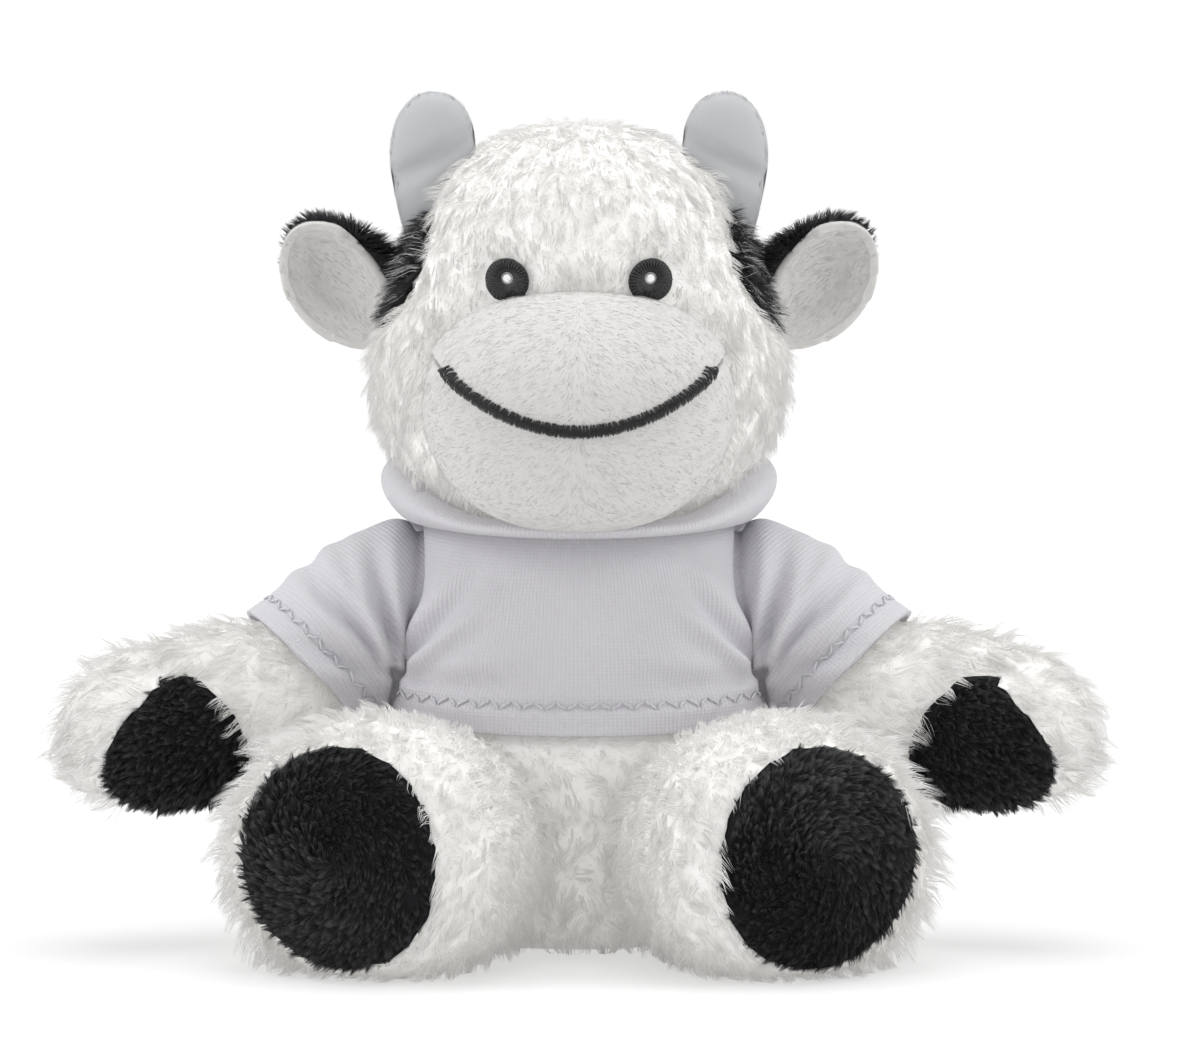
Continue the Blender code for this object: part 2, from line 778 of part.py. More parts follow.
def build_ears():
    joints = []
    for label, side in SIDES.items():
        centre = mirrored(EAR_CENTRE, side)
        facing = mirrored(EAR_FACING, side).normalized()
        length = Vector((side * math.cos(EAR_RISE), 0, math.sin(EAR_RISE))) * EAR_LENGTH / 2
        form = Form(
            f"{label}_ear_form",
            straight_path(centre - length, centre + length, facing),
            EAR_SHARES,
            EAR_WIDTH,
            EAR_DEPTH,
            SMALL_SEGMENTS,
        )
        back = form.skin(f"{label}_ear_back", VELBOA_THICKNESS, BLACK_PLUSH)
        size = 2 * EAR_LENGTH
        cut(back, half_space(f"{label}_ear_mouth", centre, facing, size))
        inset = VELBOA_THICKNESS + SEAM_GAP
        lining = form.solid(f"{label}_ear_lining", -inset, WHITE_VELBOA)
        thickened(lining, VELBOA_THICKNESS)
        lip = centre + facing * EAR_LIP
        cut(lining, half_space(f"{label}_ear_lip", lip, facing, size))
        hinge = mirrored(EAR_HINGE, side)
        relieved([back, lining], f"{label}_ear", HEAD.solid, hinge, Z_AXIS, -EAR_FOLD, EAR_FOLD)
        joints.append(joint_empty(f"{label}_ear_joint", hinge, [back, lining]))
    return joints


# The body of the top: a looser torso with folds that spread from the underarms
def fold_rise(place):
    rise = 0
    across = UNDERARM.x - abs(place.x)
    above = place.z - UNDERARM.z
    for slope in FOLD_SLOPES:
        along = across * math.cos(slope) + above * math.sin(slope)
        off = above * math.cos(slope) - across * math.sin(slope)
        share = along / FOLD_LENGTH
        if 0 < share < 1:
            ridge = math.exp(-((off / FOLD_WIDTH) ** 2))
            rise = max(rise, ridge * math.sin(math.pi * share) ** (1 / 2))
    return rise * FOLD_HEIGHT


def build_garment_form():
    form = Form(
        "garment_form",
        TORSO.path,
        TORSO_SHARES,
        TORSO_WIDTH,
        TORSO_DEPTH,
        TOP_SEGMENTS,
    )
    plain = baked_mesh(form.solid("garment_cage", TOP_EASE + JERSEY_THICKNESS))
    for vertex, normal in zip(plain.vertices, [v.normal.copy() for v in plain.vertices]):
        vertex.co += normal * fold_rise(vertex.co)
    plain.materials.clear()
    return plain


GARMENT = build_garment_form()


def garment_solid(name, distance):
    return grown(add_object(name, GARMENT.copy(), CUTTERS), distance)


# Only the stretch of the top just over its hem, which a raised thigh comes up to
def hem_solid(name, distance):
    reach = TORSO_WIDTH
    low = Vector((-reach, -reach, HEM_HEIGHT - distance - HEM_CLEARANCE))
    band = block(f"{name}_band", low, Vector((reach, reach, HEM_HEIGHT + HEM_BAND)))
    whole = garment_solid(f"{name}_top", distance + HEM_CLEARANCE)
    mesh = baked_mesh(cut(whole, band, "INTERSECT"))
    bpy.data.objects.remove(band)
    return add_object(name, mesh, CUTTERS)


def sleeve_form(label, side):
    return Form(
        f"{label}_sleeve_form",
        arm_path(side),
        SLEEVE_SHARES,
        SLEEVE_DIAMETER,
        SLEEVE_DIAMETER,
        LIMB_SEGMENTS,
    )


def arm_path(side):
    return curved_path(
        mirrored(ARM_ROOT, side),
        mirrored(ARM_ELBOW, side),
        mirrored(ARM_WRIST, side),
        mirrored(ARM_TIP, side),
    )


def build_top():
    reach = TORSO_WIDTH
    under_hem = block(
        "hem_cutter", Vector((-reach, -reach, -reach)), Vector((reach, reach, HEM_HEIGHT))
    )
    over_neck = block(
        "neckline_cutter",
        Vector((-reach, -reach, NECKLINE_HEIGHT)),
        Vector((reach, reach, NECKLINE_HEIGHT + reach)),
    )
    half_gap = SEAM_GAP / 2
    behind = block("behind", Vector((-reach, -half_gap, -reach)), Vector((reach, reach, 2 * reach)))
    before = block("before", Vector((-reach, -reach, -reach)), Vector((reach, half_gap, 2 * reach)))
    sleeves = {label: sleeve_form(label, side) for label, side in SIDES.items()}
    for name, other_half in (("top_front", behind), ("top_back", before)):
        panel = add_object(name, GARMENT.copy(), COW, WHITE_JERSEY)
        thickened(panel, JERSEY_THICKNESS)
        for cutter in (under_hem, over_neck, other_half):
            cut(panel, cutter)
        for label, form in sleeves.items():
            cut(panel, form.solid(f"{name}_{label}_armhole", SEAM_GAP))
    body = garment_solid("sleeve_seat", SEAM_GAP)
    for label, side in SIDES.items():
        sleeve = sleeves[label].skin(f"{label}_sleeve", JERSEY_THICKNESS, WHITE_JERSEY)
        place = arm_path(side)(CUFF_SHARE).translation
        facing = mirrored(CUFF_FACING, side)
        cut(sleeve, half_space(f"{label}_cuff_cutter", place, facing, 2 * SLEEVE_DIAMETER))
        cut(sleeve, body)


def build_arms():
    joints = []
    for label, side in SIDES.items():
        form = Form(
            f"{label}_arm_form", arm_path(side), ARM_SHARES, ARM_DIAMETER, ARM_DIAMETER, LIMB_SEGMENTS
        )
        skin = form.skin(f"{label}_arm_skin", PLUSH_THICKNESS, WHITE_PLUSH)
        filling = form.filling(f"{label}_arm_stuffing", SKIN_TO_FILLING, FIBRE_FILL)
        pad = form.skin(f"{label}_paw_pad", PLUSH_THICKNESS, BLACK_PLUSH)
        place = arm_path(side)(PAW_PAD_SHARE).translation
        facing = mirrored(PAW_PAD_FACING, side)
        for piece, extra, operation in ((pad, -SEAM_GAP, "INTERSECT"), (skin, SEAM_GAP, "DIFFERENCE")):
            size = PAW_PAD_DIAMETER + extra
            rod = oval_rod(f"{piece.name}_rod", place, facing, ARM_DIAMETER, size, size)
            cut(piece, rod, operation)
        hinge = mirrored(ARM_HINGE, side)
        relieved(
            [skin, filling],
            f"{label}_arm",
            TORSO.solid,
            hinge,
            Y_AXIS * -side,
            -ARM_LOWER,
            0,
            ARM_ROOT_GAP,
        )
        joints.append(joint_empty(f"{label}_arm_joint", hinge, [skin, filling, pad]))
    return joints


def build_legs():
    joints = []
    for label, side in SIDES.items():
        path = curved_path(
            mirrored(LEG_ROOT, side),
            mirrored(LEG_KNEE, side),
            mirrored(LEG_ANKLE, side),
            mirrored(LEG_END, side),
        )
        form = Form(f"{label}_leg_form", path, LEG_SHARES, LEG_WIDTH, LEG_DEPTH, LIMB_SEGMENTS)
        skin = form.skin(f"{label}_leg_skin", PLUSH_THICKNESS, WHITE_PLUSH)
        filling = form.filling(f"{label}_leg_stuffing", SKIN_TO_FILLING, FIBRE_FILL)
        sole = form.skin(f"{label}_sole", PLUSH_THICKNESS, BLACK_PLUSH)
        end = path(1)
        heading = end.to_3x3() @ Z_AXIS
        start = end.translation - heading * SOLE_REACH
        for piece, extra, operation in ((sole, -SEAM_GAP, "INTERSECT"), (skin, SEAM_GAP, "DIFFERENCE")):
            rod = oval_rod(
                f"{piece.name}_rod",
                start,
                heading,
                SOLE_REACH + CUT_OVERRUN,
                SOLE_WIDTH + extra,
                SOLE_LENGTH + extra,
                turn=side * SOLE_TILT,
            )
            cut(piece, rod, operation)
        cut(skin, FLOOR)
        hinge = mirrored(LEG_HINGE, side)
        relieved([skin, filling], f"{label}_leg", TORSO.solid, hinge, -X_AXIS, 0, LEG_RAISE)
        relieved([skin], f"{label}_thigh", hem_solid, hinge, -X_AXIS, 0, LEG_RAISE)
        joints.append(joint_empty(f"{label}_leg_joint", hinge, [skin, filling, sole]))
    return joints


def build_tail():
    path = curved_path(TAIL_ROOT, TAIL_BEND, TAIL_HANG, TAIL_TIP)
    form = Form("tail_form", path, TAIL_SHARES, TAIL_DIAMETER, TAIL_DIAMETER, SMALL_SEGMENTS)
    heading = path(1).to_3x3() @ Z_AXIS
    tuft_start = TAIL_TIP - heading * (TUFT_LENGTH / 2)
    tuft_form = Form(
        "tuft_form",
        straight_path(tuft_start, tuft_start + heading * TUFT_LENGTH, Y_AXIS),
        TAIL_SHARES,
        TUFT_DIAMETER,
        TUFT_DIAMETER,
        SMALL_SEGMENTS,
    )
    tail = form.solid("tail", 0, WHITE_PLUSH)
    tuft = tuft_form.solid("tail_tuft", 0, BLACK_PLUSH)
    cut(tail, tuft_form.solid("tuft_seat", SEAM_GAP))
    relieved([tail], "tail", TORSO.solid, TAIL_HINGE, Z_AXIS, -TAIL_WAG, TAIL_WAG)
    return [joint_empty("tail_joint", TAIL_HINGE, [tail, tuft])]


# The hood's section at a turn, 0 in front and 1 behind, as a radius and a height.
# It runs from the neck seam down the inner layer and up the outer one to the rim.
def eased(share):
    share = max(0, min(1, share))
    return share * share * (3 - 2 * share)


def hood_section(turn, along):
    sideward = eased((turn - HOOD_CHIN_SHARE) / (1 / 2 - HOOD_CHIN_SHARE))
    backward = eased(2 * turn - 1)
    top = HOOD_FRONT_TOP + (HOOD_SIDE_TOP - HOOD_FRONT_TOP) * sideward
    top += (HOOD_BACK_TOP - HOOD_SIDE_TOP) * backward
    drop = HOOD_FRONT_DROP + (HOOD_BACK_DROP - HOOD_FRONT_DROP) * backward
    bottom_radius = HOOD_SEAM_RADIUS + HOOD_EASE + HOOD_FLARE_SHARE * drop
    if along <= 1 / 2:
        down = 2 * along
        radius = HOOD_SEAM_RADIUS + (bottom_radius - HOOD_SEAM_RADIUS) * math.sqrt(down)
        return radius, HOOD_SEAM_HEIGHT - drop * down
    up = 2 * along - 1
    radius = bottom_radius + (HOOD_RIM_RADIUS - bottom_radius) * up
    radius += HOOD_BULGE * math.sin(math.pi * up)
    bottom = HOOD_SEAM_HEIGHT - drop
    return radius, bottom + (top - bottom) * up


def build_hood():
    sheet = bmesh.new()
    bmesh.ops.create_grid(sheet, x_segments=HOOD_SEGMENTS, y_segments=HOOD_ROWS, size=1)
    for vertex in sheet.verts:
        angle = math.pi * vertex.co.x
        turn = 1 - abs(vertex.co.x)
        radius, height = hood_section(turn, (vertex.co.y + 1) / 2)
        depth = radius * HOOD_DEPTH_SHARE
        vertex.co = Vector((radius * math.sin(angle), depth * math.cos(angle), height))
    bmesh.ops.remove_doubles(sheet, verts=sheet.verts, dist=SEAM_GAP)
    bmesh.ops.recalc_face_normals(sheet, faces=sheet.faces)
    mesh = bpy.data.meshes.new("hood")
    sheet.to_mesh(mesh)
    sheet.free()
    hood = add_object("hood", mesh, COW, WHITE_JERSEY)
    thickened(rounded(hood), JERSEY_THICKNESS, 0)
    return hood


build_torso()
MUZZLE_PANELS, MUZZLE_FILLINGS = build_muzzle()
HEAD_PIECES = build_head(MUZZLE_FILLINGS) + MUZZLE_PANELS + build_eyes() + build_smile() + build_horns()
NECK_JOINT = joint_empty("neck_joint", Vector((0, 0, NECK_HEIGHT)), HEAD_PIECES)
for EAR_JOINT in build_ears():
    EAR_JOINT.parent = NECK_JOINT
    EAR_JOINT.matrix_parent_inverse = Matrix.Translation(-NECK_JOINT.location)
build_arms()
build_legs()
build_tail()
build_top()
build_hood()
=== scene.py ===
import math

import bmesh
import bpy
import numpy as np
from mathutils import Matrix, Vector, noise
from mathutils.bvhtree import BVHTree
from mathutils.kdtree import KDTree


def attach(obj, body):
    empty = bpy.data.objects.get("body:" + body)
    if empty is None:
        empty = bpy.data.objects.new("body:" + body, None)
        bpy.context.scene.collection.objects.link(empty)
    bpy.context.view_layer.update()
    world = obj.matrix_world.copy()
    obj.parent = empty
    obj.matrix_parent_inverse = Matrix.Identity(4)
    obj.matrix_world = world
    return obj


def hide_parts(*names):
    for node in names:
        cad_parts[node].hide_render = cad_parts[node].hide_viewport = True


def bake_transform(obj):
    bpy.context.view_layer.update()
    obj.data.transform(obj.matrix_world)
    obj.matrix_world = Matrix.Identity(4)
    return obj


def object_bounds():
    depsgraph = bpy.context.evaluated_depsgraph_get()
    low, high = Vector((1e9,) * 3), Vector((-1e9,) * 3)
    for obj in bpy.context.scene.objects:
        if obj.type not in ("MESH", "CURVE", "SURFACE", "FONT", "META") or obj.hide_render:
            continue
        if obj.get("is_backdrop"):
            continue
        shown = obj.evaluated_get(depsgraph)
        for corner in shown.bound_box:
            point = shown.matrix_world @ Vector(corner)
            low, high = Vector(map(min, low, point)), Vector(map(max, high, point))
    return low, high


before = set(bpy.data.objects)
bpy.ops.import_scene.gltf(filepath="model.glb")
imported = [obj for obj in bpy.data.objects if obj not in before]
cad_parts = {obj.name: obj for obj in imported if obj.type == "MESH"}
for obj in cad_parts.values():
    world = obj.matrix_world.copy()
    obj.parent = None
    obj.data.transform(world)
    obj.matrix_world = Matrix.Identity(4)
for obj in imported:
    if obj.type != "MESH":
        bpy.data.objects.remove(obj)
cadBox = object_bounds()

# A sitting plush cow in a hooded top. Metres; the cow looks along -Y, its own left is +X.
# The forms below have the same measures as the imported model, made finer.

mm = 0.001
sides = {"left": 1, "right": -1}
scene = bpy.context.scene


def say(words):
    print("scene:", words, flush=True)


def mirrored(point, side):
    return Vector((point[0] * side, point[1], point[2]))


# Paths give a frame for a share of their length: Z runs along, X is the side, Y the upper side
def uprightPath(bottom, top, forward):
    def at(share):
        return Matrix.Translation((0, -forward, bottom + (top - bottom) * share))

    return at


def straightPath(start, end, upper):
    start = Vector(start)
    end = Vector(end)
    along = (end - start).normalized()
    across = (Vector(upper) - along * Vector(upper).dot(along)).normalized()
    turn = Matrix((across.cross(along), across, along)).transposed().to_4x4()

    def at(share):
        return Matrix.Translation(start.lerp(end, share)) @ turn

    return at


def curvedPath(start, startHandle, endHandle, end):
    def at(share):
        rest = 1 - share
        place = start * rest**3 + startHandle * (3 * rest**2 * share)
        place += endHandle * (3 * rest * share**2) + end * share**3
        along = (startHandle - start) * rest**2 + (endHandle - startHandle) * (2 * rest * share)
        along = (along + (end - endHandle) * share**2).normalized()
        upper = (Vector((0, 0, 1)) - along * along.z).normalized()
        turn = Matrix((upper.cross(along), upper, along)).transposed().to_4x4()
        return Matrix.Translation(place) @ turn

    return at


def evaluatedMesh(thing):
    graph = bpy.context.evaluated_depsgraph_get()
    made = bpy.data.meshes.new_from_object(thing.evaluated_get(graph))
    bpy.data.objects.remove(thing)
    return made


def newObject(name, mesh):
    made = bpy.data.objects.new(name, mesh)
    scene.collection.objects.link(made)
    return made


def smoothed(mesh, levels):
    thing = newObject("smoothing", mesh)
    rounder = thing.modifiers.new("rounder", "SUBSURF")
    rounder.levels = levels
    rounder.render_levels = levels
    return evaluatedMesh(thing)


# Blender lists a sphere's corners and faces in another order each run, so they are sorted by place
def sortedMesh(name, shape):
    shape.verts.index_update()
    corners = sorted(shape.verts, key=lambda vertex: tuple(vertex.co))
    numbers = {vertex.index: number for number, vertex in enumerate(corners)}
    faces = []
    for face in shape.faces:
        ring = [numbers[vertex.index] for vertex in face.verts]
        first = ring.index(min(ring))
        faces.append(ring[first:] + ring[:first])
    mesh = bpy.data.meshes.new(name)
    mesh.from_pydata([tuple(vertex.co) for vertex in corners], [], sorted(faces))
    return mesh


# A soft form: a sphere's rings moved to the stations of a table (along, side, front, back)
def formMesh(stations, path, width, depth, segments, fullness=1, levels=3, ease=0):
    rings = len(stations) - 2
    growth = 3 / (2 + math.cos(math.tau / segments))
    cage = bmesh.new()
    bmesh.ops.create_uvsphere(cage, u_segments=segments, v_segments=rings + 1, radius=1)
    for vertex in cage.verts:
        polar = math.acos(max(-1, min(1, -vertex.co.z)))
        along, side, front, back = stations[round(polar / math.pi * (rings + 1))]
        azimuth = math.atan2(vertex.co.y, vertex.co.x)
        across = math.copysign(abs(math.cos(azimuth)) ** fullness, math.cos(azimuth))
        reach = math.copysign(abs(math.sin(azimuth)) ** fullness, math.sin(azimuth))
        across *= side * width / 2 * growth
        reach *= (front if reach < 0 else back) * depth / 2 * growth
        vertex.co = path(along) @ Vector((across, reach, 0))
    bmesh.ops.recalc_face_normals(cage, faces=cage.faces)
    mesh = smoothed(sortedMesh("form", cage), levels)
    cage.free()
    if ease:
        for vertex, normal in zip(mesh.vertices, [n.vector.copy() for n in mesh.vertex_normals]):
            vertex.co += normal * ease
    return mesh


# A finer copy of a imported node, for skins that long pile covers
def nodeCopy(node, levels=0):
    shape = bmesh.new()
    shape.from_mesh(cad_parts[node].data)
    bmesh.ops.remove_doubles(shape, verts=shape.verts, dist=0.01 * mm)
    bmesh.ops.dissolve_degenerate(shape, edges=shape.edges, dist=0.005 * mm)
    if levels:
        bmesh.ops.subdivide_edges(shape, edges=shape.edges, cuts=levels, use_grid_fill=True)
        for _ in range(2):
            bmesh.ops.smooth_vert(
                shape, verts=shape.verts, factor=0.3, use_axis_x=True, use_axis_y=True, use_axis_z=True
            )
    mesh = bpy.data.meshes.new(node)
    shape.to_mesh(mesh)
    shape.free()
    return mesh


def treeOf(*meshes):
    places = []
    faces = []
    for mesh in meshes:
        first = len(places)
        places += [vertex.co.copy() for vertex in mesh.vertices]
        faces += [[first + corner for corner in face.vertices] for face in mesh.polygons]
    return BVHTree.FromPolygons(places, faces)


def nodeTree(*names):
    return treeOf(*[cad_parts[name].data for name in names])


def reshaped(mesh, change):
    shape = bmesh.new()
    shape.from_mesh(mesh)
    change(shape)
    shape.to_mesh(mesh)
    shape.free()
    mesh.update()
    return mesh


def cutAway(shape, point, facing):
    bmesh.ops.bisect_plane(
        shape,
        geom=shape.verts[:] + shape.edges[:] + shape.faces[:],
        dist=1e-7,
        plane_co=point,
        plane_no=facing,
        clear_outer=True,
    )


def thickened(mesh, thickness):
    thing = newObject("wall", mesh)
    wall = thing.modifiers.new("wall", "SOLIDIFY")
    wall.thickness = thickness
    wall.offset = -1
    return evaluatedMesh(thing)


# Materials

class Wire:  # one node output, so that sums can be written as they are
    def __init__(self, network, socket):
        self.network = network
        self.socket = socket

    def __add__(self, other):
        return self.network.sum("ADD", self, other)

    def __mul__(self, other):
        return self.network.sum("MULTIPLY", self, other)


class Network:  # a node tree, with one method that adds a node
    def __init__(self, tree):
        self.tree = tree

    def join(self, socket, value):
        if isinstance(value, Wire):
            self.tree.links.new(value.socket, socket)
        else:
            socket.default_value = value

    def node(self, kind, settings=None, values=None, output=0):
        made = self.tree.nodes.new("ShaderNode" + kind)
        for name, value in (settings or {}).items():
            if name == "stops":
                while len(made.color_ramp.elements) < len(value):
                    made.color_ramp.elements.new(1)
                for element, (place, colour) in zip(made.color_ramp.elements, value):
                    element.position = place
                    element.color = (*colour, 1)
            else:
                setattr(made, name, value)
        for socket, value in (values or {}).items():
            self.join(made.inputs[socket], value)
        return Wire(self, made.outputs[output])

    def sum(self, operation, first, second=0.0):
        return self.node("Math", {"operation": operation}, {0: first, 1: second})

    def mixed(self, share, first, second):
        first = first if isinstance(first, Wire) else (*first, 1)
        second = second if isinstance(second, Wire) else (*second, 1)
        return self.node("Mix", {"data_type": "RGBA"}, {0: share, 6: first, 7: second}, 2)

    def noise(self, place, scale, detail=2.0, roughness=0.5):
        values = {"Vector": place, "Scale": scale, "Detail": detail, "Roughness": roughness}
        return self.node("TexNoise", None, values)

    def objectPlace(self):
        return self.node("TexCoord", None, None, 3)

    def backdropRays(self):  # camera, glossy and transmission rays see the white background
        seen, glossy, glass = (self.node("LightPath", None, None, output) for output in (0, 3, 6))
        return self.sum("MAXIMUM", self.sum("MAXIMUM", seen, glossy), glass)

    def finishWith(self, output, share, first, second):
        mix = self.node("MixShader", None, {0: share, 1: first, 2: second})
        self.tree.links.new(mix.socket, self.tree.nodes[output].inputs["Surface"])


class Finish(Network):
    def __init__(self, name, roughness, **constants):
        self.material = bpy.data.materials.new(name)
        self.material.use_nodes = True
        super().__init__(self.material.node_tree)
        self.shader = self.tree.nodes["Principled BSDF"]
        self.shader.inputs["Roughness"].default_value = roughness
        for socket, value in constants.items():
            self.shader.inputs[socket.replace("_", " ")].default_value = value

    # Painted light: an emission that lifts shaded parts, though the cloth is no lamp
    def paintedGlow(self, strength):
        self.shader.inputs["Emission Color"].default_value = (1.0, 0.98, 0.955, 1)
        self.shader.inputs["Emission Strength"].default_value = strength

    def colour(self, value):
        self.join(self.shader.inputs["Base Color"], value)

    def bump(self, height, distance, strength=1.0):
        values = {"Height": height, "Distance": distance, "Strength": strength}
        self.join(self.shader.inputs["Normal"], self.node("Bump", None, values))


# Pile reads only its own map: across it is the strand's shade, up it runs root to tip
def pileFinish(name, root, middle, tip, varied, roughness, sheen, glow=0.0):
    finish = Finish(name, roughness, Sheen_Weight=sheen, Sheen_Roughness=0.5, Specular_IOR_Level=0.3)
    if glow:  # light passes through pale strands; the emission is painted light, a glow that lifts the shade between strands in place of light that goes on between them for very many bounces
        finish.shader.inputs["Subsurface Weight"].default_value = 0.5
        finish.shader.inputs["Subsurface Radius"].default_value = (1.0, 0.97, 0.93)
        finish.shader.inputs["Subsurface Scale"].default_value = 1.5 * mm
        finish.paintedGlow(glow)
    place = finish.node("UVMap", {"uv_map": "OFBake"})
    shade = finish.node("SeparateXYZ", None, {0: place}, 0)
    along = finish.node("SeparateXYZ", None, {0: place}, 1)
    ramp = finish.node("ValToRGB", {"stops": [(0.0, root), (0.55, middle), (1.0, tip)]}, {0: along})
    finish.colour(finish.mixed(shade * varied, ramp, tuple(part * 0.6 for part in middle)))
    return finish.material


# Short pile cloth and the backing under long pile; glow is painted light, an emission that lifts their
# shade
def nappedFinish(name, light, dark, roughness, scale, depth, sheen, glow=0.0):
    finish = Finish(name, roughness, Sheen_Weight=sheen, Sheen_Roughness=0.6, Specular_IOR_Level=0.2)
    finish.paintedGlow(glow)
    place = finish.objectPlace()
    fine = finish.noise(place, scale, 3.0, 0.6)
    broad = finish.noise(place, scale * 0.06, 2.0)
    finish.colour(finish.mixed(fine * 0.55 + broad * 0.35, light, dark))
    finish.bump(fine * 0.8 + broad * 0.5, depth)
    return finish.material


# Jersey: wales run along the piece's second knit coordinate
def jerseyFinish(name, light, dark, pitch):
    finish = Finish(name, 0.85, Sheen_Weight=0.15, Sheen_Roughness=0.5, Specular_IOR_Level=0.2)
    knit = finish.node("Attribute", {"attribute_name": "knit"}, None, 1)
    across = finish.node("SeparateXYZ", None, {0: knit}, 0)
    along = finish.node("SeparateXYZ", None, {0: knit}, 1)
    drift = finish.noise(knit, 160.0, 2.0)
    wale = finish.sum("SINE", (across + drift * (0.12 * mm)) * (math.tau / pitch))
    leg = finish.sum("ABSOLUTE", wale)
    course = finish.sum("SINE", (along + leg * (pitch * 0.25)) * (math.tau / (pitch * 0.8)))
    height = wale * 0.5 + course * 0.28
    broad = finish.noise(finish.objectPlace(), 60.0, 2.0)
    # The colour is darker where the knit's relief is low: painted shade in its grooves; broad is tone that
    # varies at random
    finish.colour(finish.mixed((height * 0.35 + 0.4) * 0.7 + broad * 0.2, dark, light))
    finish.bump(height, 0.10 * mm, 0.8)
    return finish.material


def threadFinish(name, light, dark):
    finish = Finish(name, 0.55, Sheen_Weight=0.2, Sheen_Roughness=0.4, Specular_IOR_Level=0.35)
    place = finish.objectPlace()
    twist = finish.noise(place, 5200.0, 2.0, 0.7)
    finish.colour(finish.mixed(twist, dark, light))
    finish.bump(twist, 0.05 * mm)
    return finish.material


# The last number of whitePile, whiteNap, whiteBacking, whiteVelboa and greyVelboa is painted glow, an
# emission that lifts their shade
finishes = {
    "whitePile": pileFinish(
        "whitePile", (0.70, 0.68, 0.655), (0.71, 0.697, 0.678), (0.72, 0.712, 0.702), 0.05, 0.8, 0.3, 0.13
    ),
    # blackPile's tips are much lighter than its roots: a painted highlight, the sheen of black pile
    "blackPile": pileFinish(
        "blackPile", (0.001, 0.001, 0.001), (0.004, 0.004, 0.005), (0.125, 0.127, 0.135), 0.75, 0.5, 0.03
    ),
    "whiteNap": pileFinish(
        "whiteNap", (0.54, 0.531, 0.519), (0.54, 0.532, 0.52), (0.55, 0.542, 0.532), 0.04, 0.8, 0.15, 0.085
    ),
    "greyNap": pileFinish(
        "greyNap", (0.45, 0.46, 0.475), (0.45, 0.46, 0.475), (0.46, 0.47, 0.485), 0.04, 0.8, 0.15
    ),
    "whiteBacking": nappedFinish(
        "whiteBacking", (0.80, 0.79, 0.775), (0.75, 0.74, 0.72), 0.9, 900.0, 0.3 * mm, 0.1, 0.16
    ),
    "blackBacking": nappedFinish(
        "blackBacking", (0.012, 0.012, 0.014), (0.004, 0.004, 0.005), 0.9, 900.0, 0.4 * mm, 0.02
    ),
    "whiteVelboa": nappedFinish(
        "whiteVelboa", (0.565, 0.555, 0.543), (0.53, 0.52, 0.508), 0.9, 2600.0, 0.08 * mm, 0.15, 0.085
    ),
    "greyVelboa": nappedFinish(
        "greyVelboa", (0.47, 0.48, 0.495), (0.44, 0.45, 0.465), 0.9, 2600.0, 0.08 * mm, 0.15, 0.03
    ),
    "jersey": jerseyFinish("jersey", (0.685, 0.675, 0.708), (0.565, 0.555, 0.585), 0.80 * mm),
    "blackThread": threadFinish("blackThread", (0.012, 0.012, 0.013), (0.003, 0.003, 0.0035)),
    "eyeThread": threadFinish("eyeThread", (0.040, 0.040, 0.043), (0.006, 0.006, 0.007)),
    "whiteThread": threadFinish("whiteThread", (0.86, 0.86, 0.86), (0.74, 0.74, 0.74)),
    "topThread": threadFinish("topThread", (0.70, 0.695, 0.73), (0.56, 0.555, 0.58)),
    "fibre": nappedFinish(
        "fibre", (0.92, 0.92, 0.91), (0.80, 0.80, 0.79), 0.95, 420.0, 1.2 * mm, 0.1
    ),
}


def dressed(name, mesh, finish, body=None, bend=None, replaces=(), fill=None):
    made = newObject(name, mesh)
    mesh.materials.clear()
    mesh.materials.append(finishes[finish])
    mesh.polygons.foreach_set("use_smooth", [True] * len(mesh.polygons))
    if bend:
        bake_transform(made)
    else:
        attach(made, body)
    if replaces:
        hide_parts(*replaces)
    return made


def filling(name, node, **riding):
    dressed(name, nodeCopy(node, 1), "fibre", replaces=[node], **riding)


# Pile: strands are bent copies of one small bmesh cone, set on the outer faces

def strandShape(heights):
    cone = bmesh.new()
    bmesh.ops.create_cone(
        cone, cap_ends=False, segments=3, radius1=1, radius2=0, depth=1,
        matrix=Matrix.Translation((0, 0, 0.5)),
    )
    bmesh.ops.remove_doubles(cone, verts=cone.verts, dist=1e-4)
    for height in heights:
        bmesh.ops.bisect_plane(
            cone,
            geom=cone.verts[:] + cone.edges[:] + cone.faces[:],
            dist=1e-6,
            plane_co=(0, 0, height),
            plane_no=(0, 0, 1),
        )
    cone.verts.index_update()
    along = np.array([vertex.co.z for vertex in cone.verts])
    around = np.array([math.atan2(vertex.co.y, vertex.co.x) for vertex in cone.verts])
    around = around - around[0]
    loops = []
    starts = []
    for face in cone.faces:
        starts.append(len(loops))
        loops += [vertex.index for vertex in face.verts]
    cone.free()
    return {"along": along, "around": around, "loops": np.array(loops), "starts": np.array(starts)}


strands = {"long": strandShape((0.34, 0.70)), "short": strandShape((0.5,)), "spike": strandShape(())}


def unit(vectors):
    lengths = np.linalg.norm(vectors, axis=-1, keepdims=True)
    return vectors / np.maximum(lengths, 1e-9)


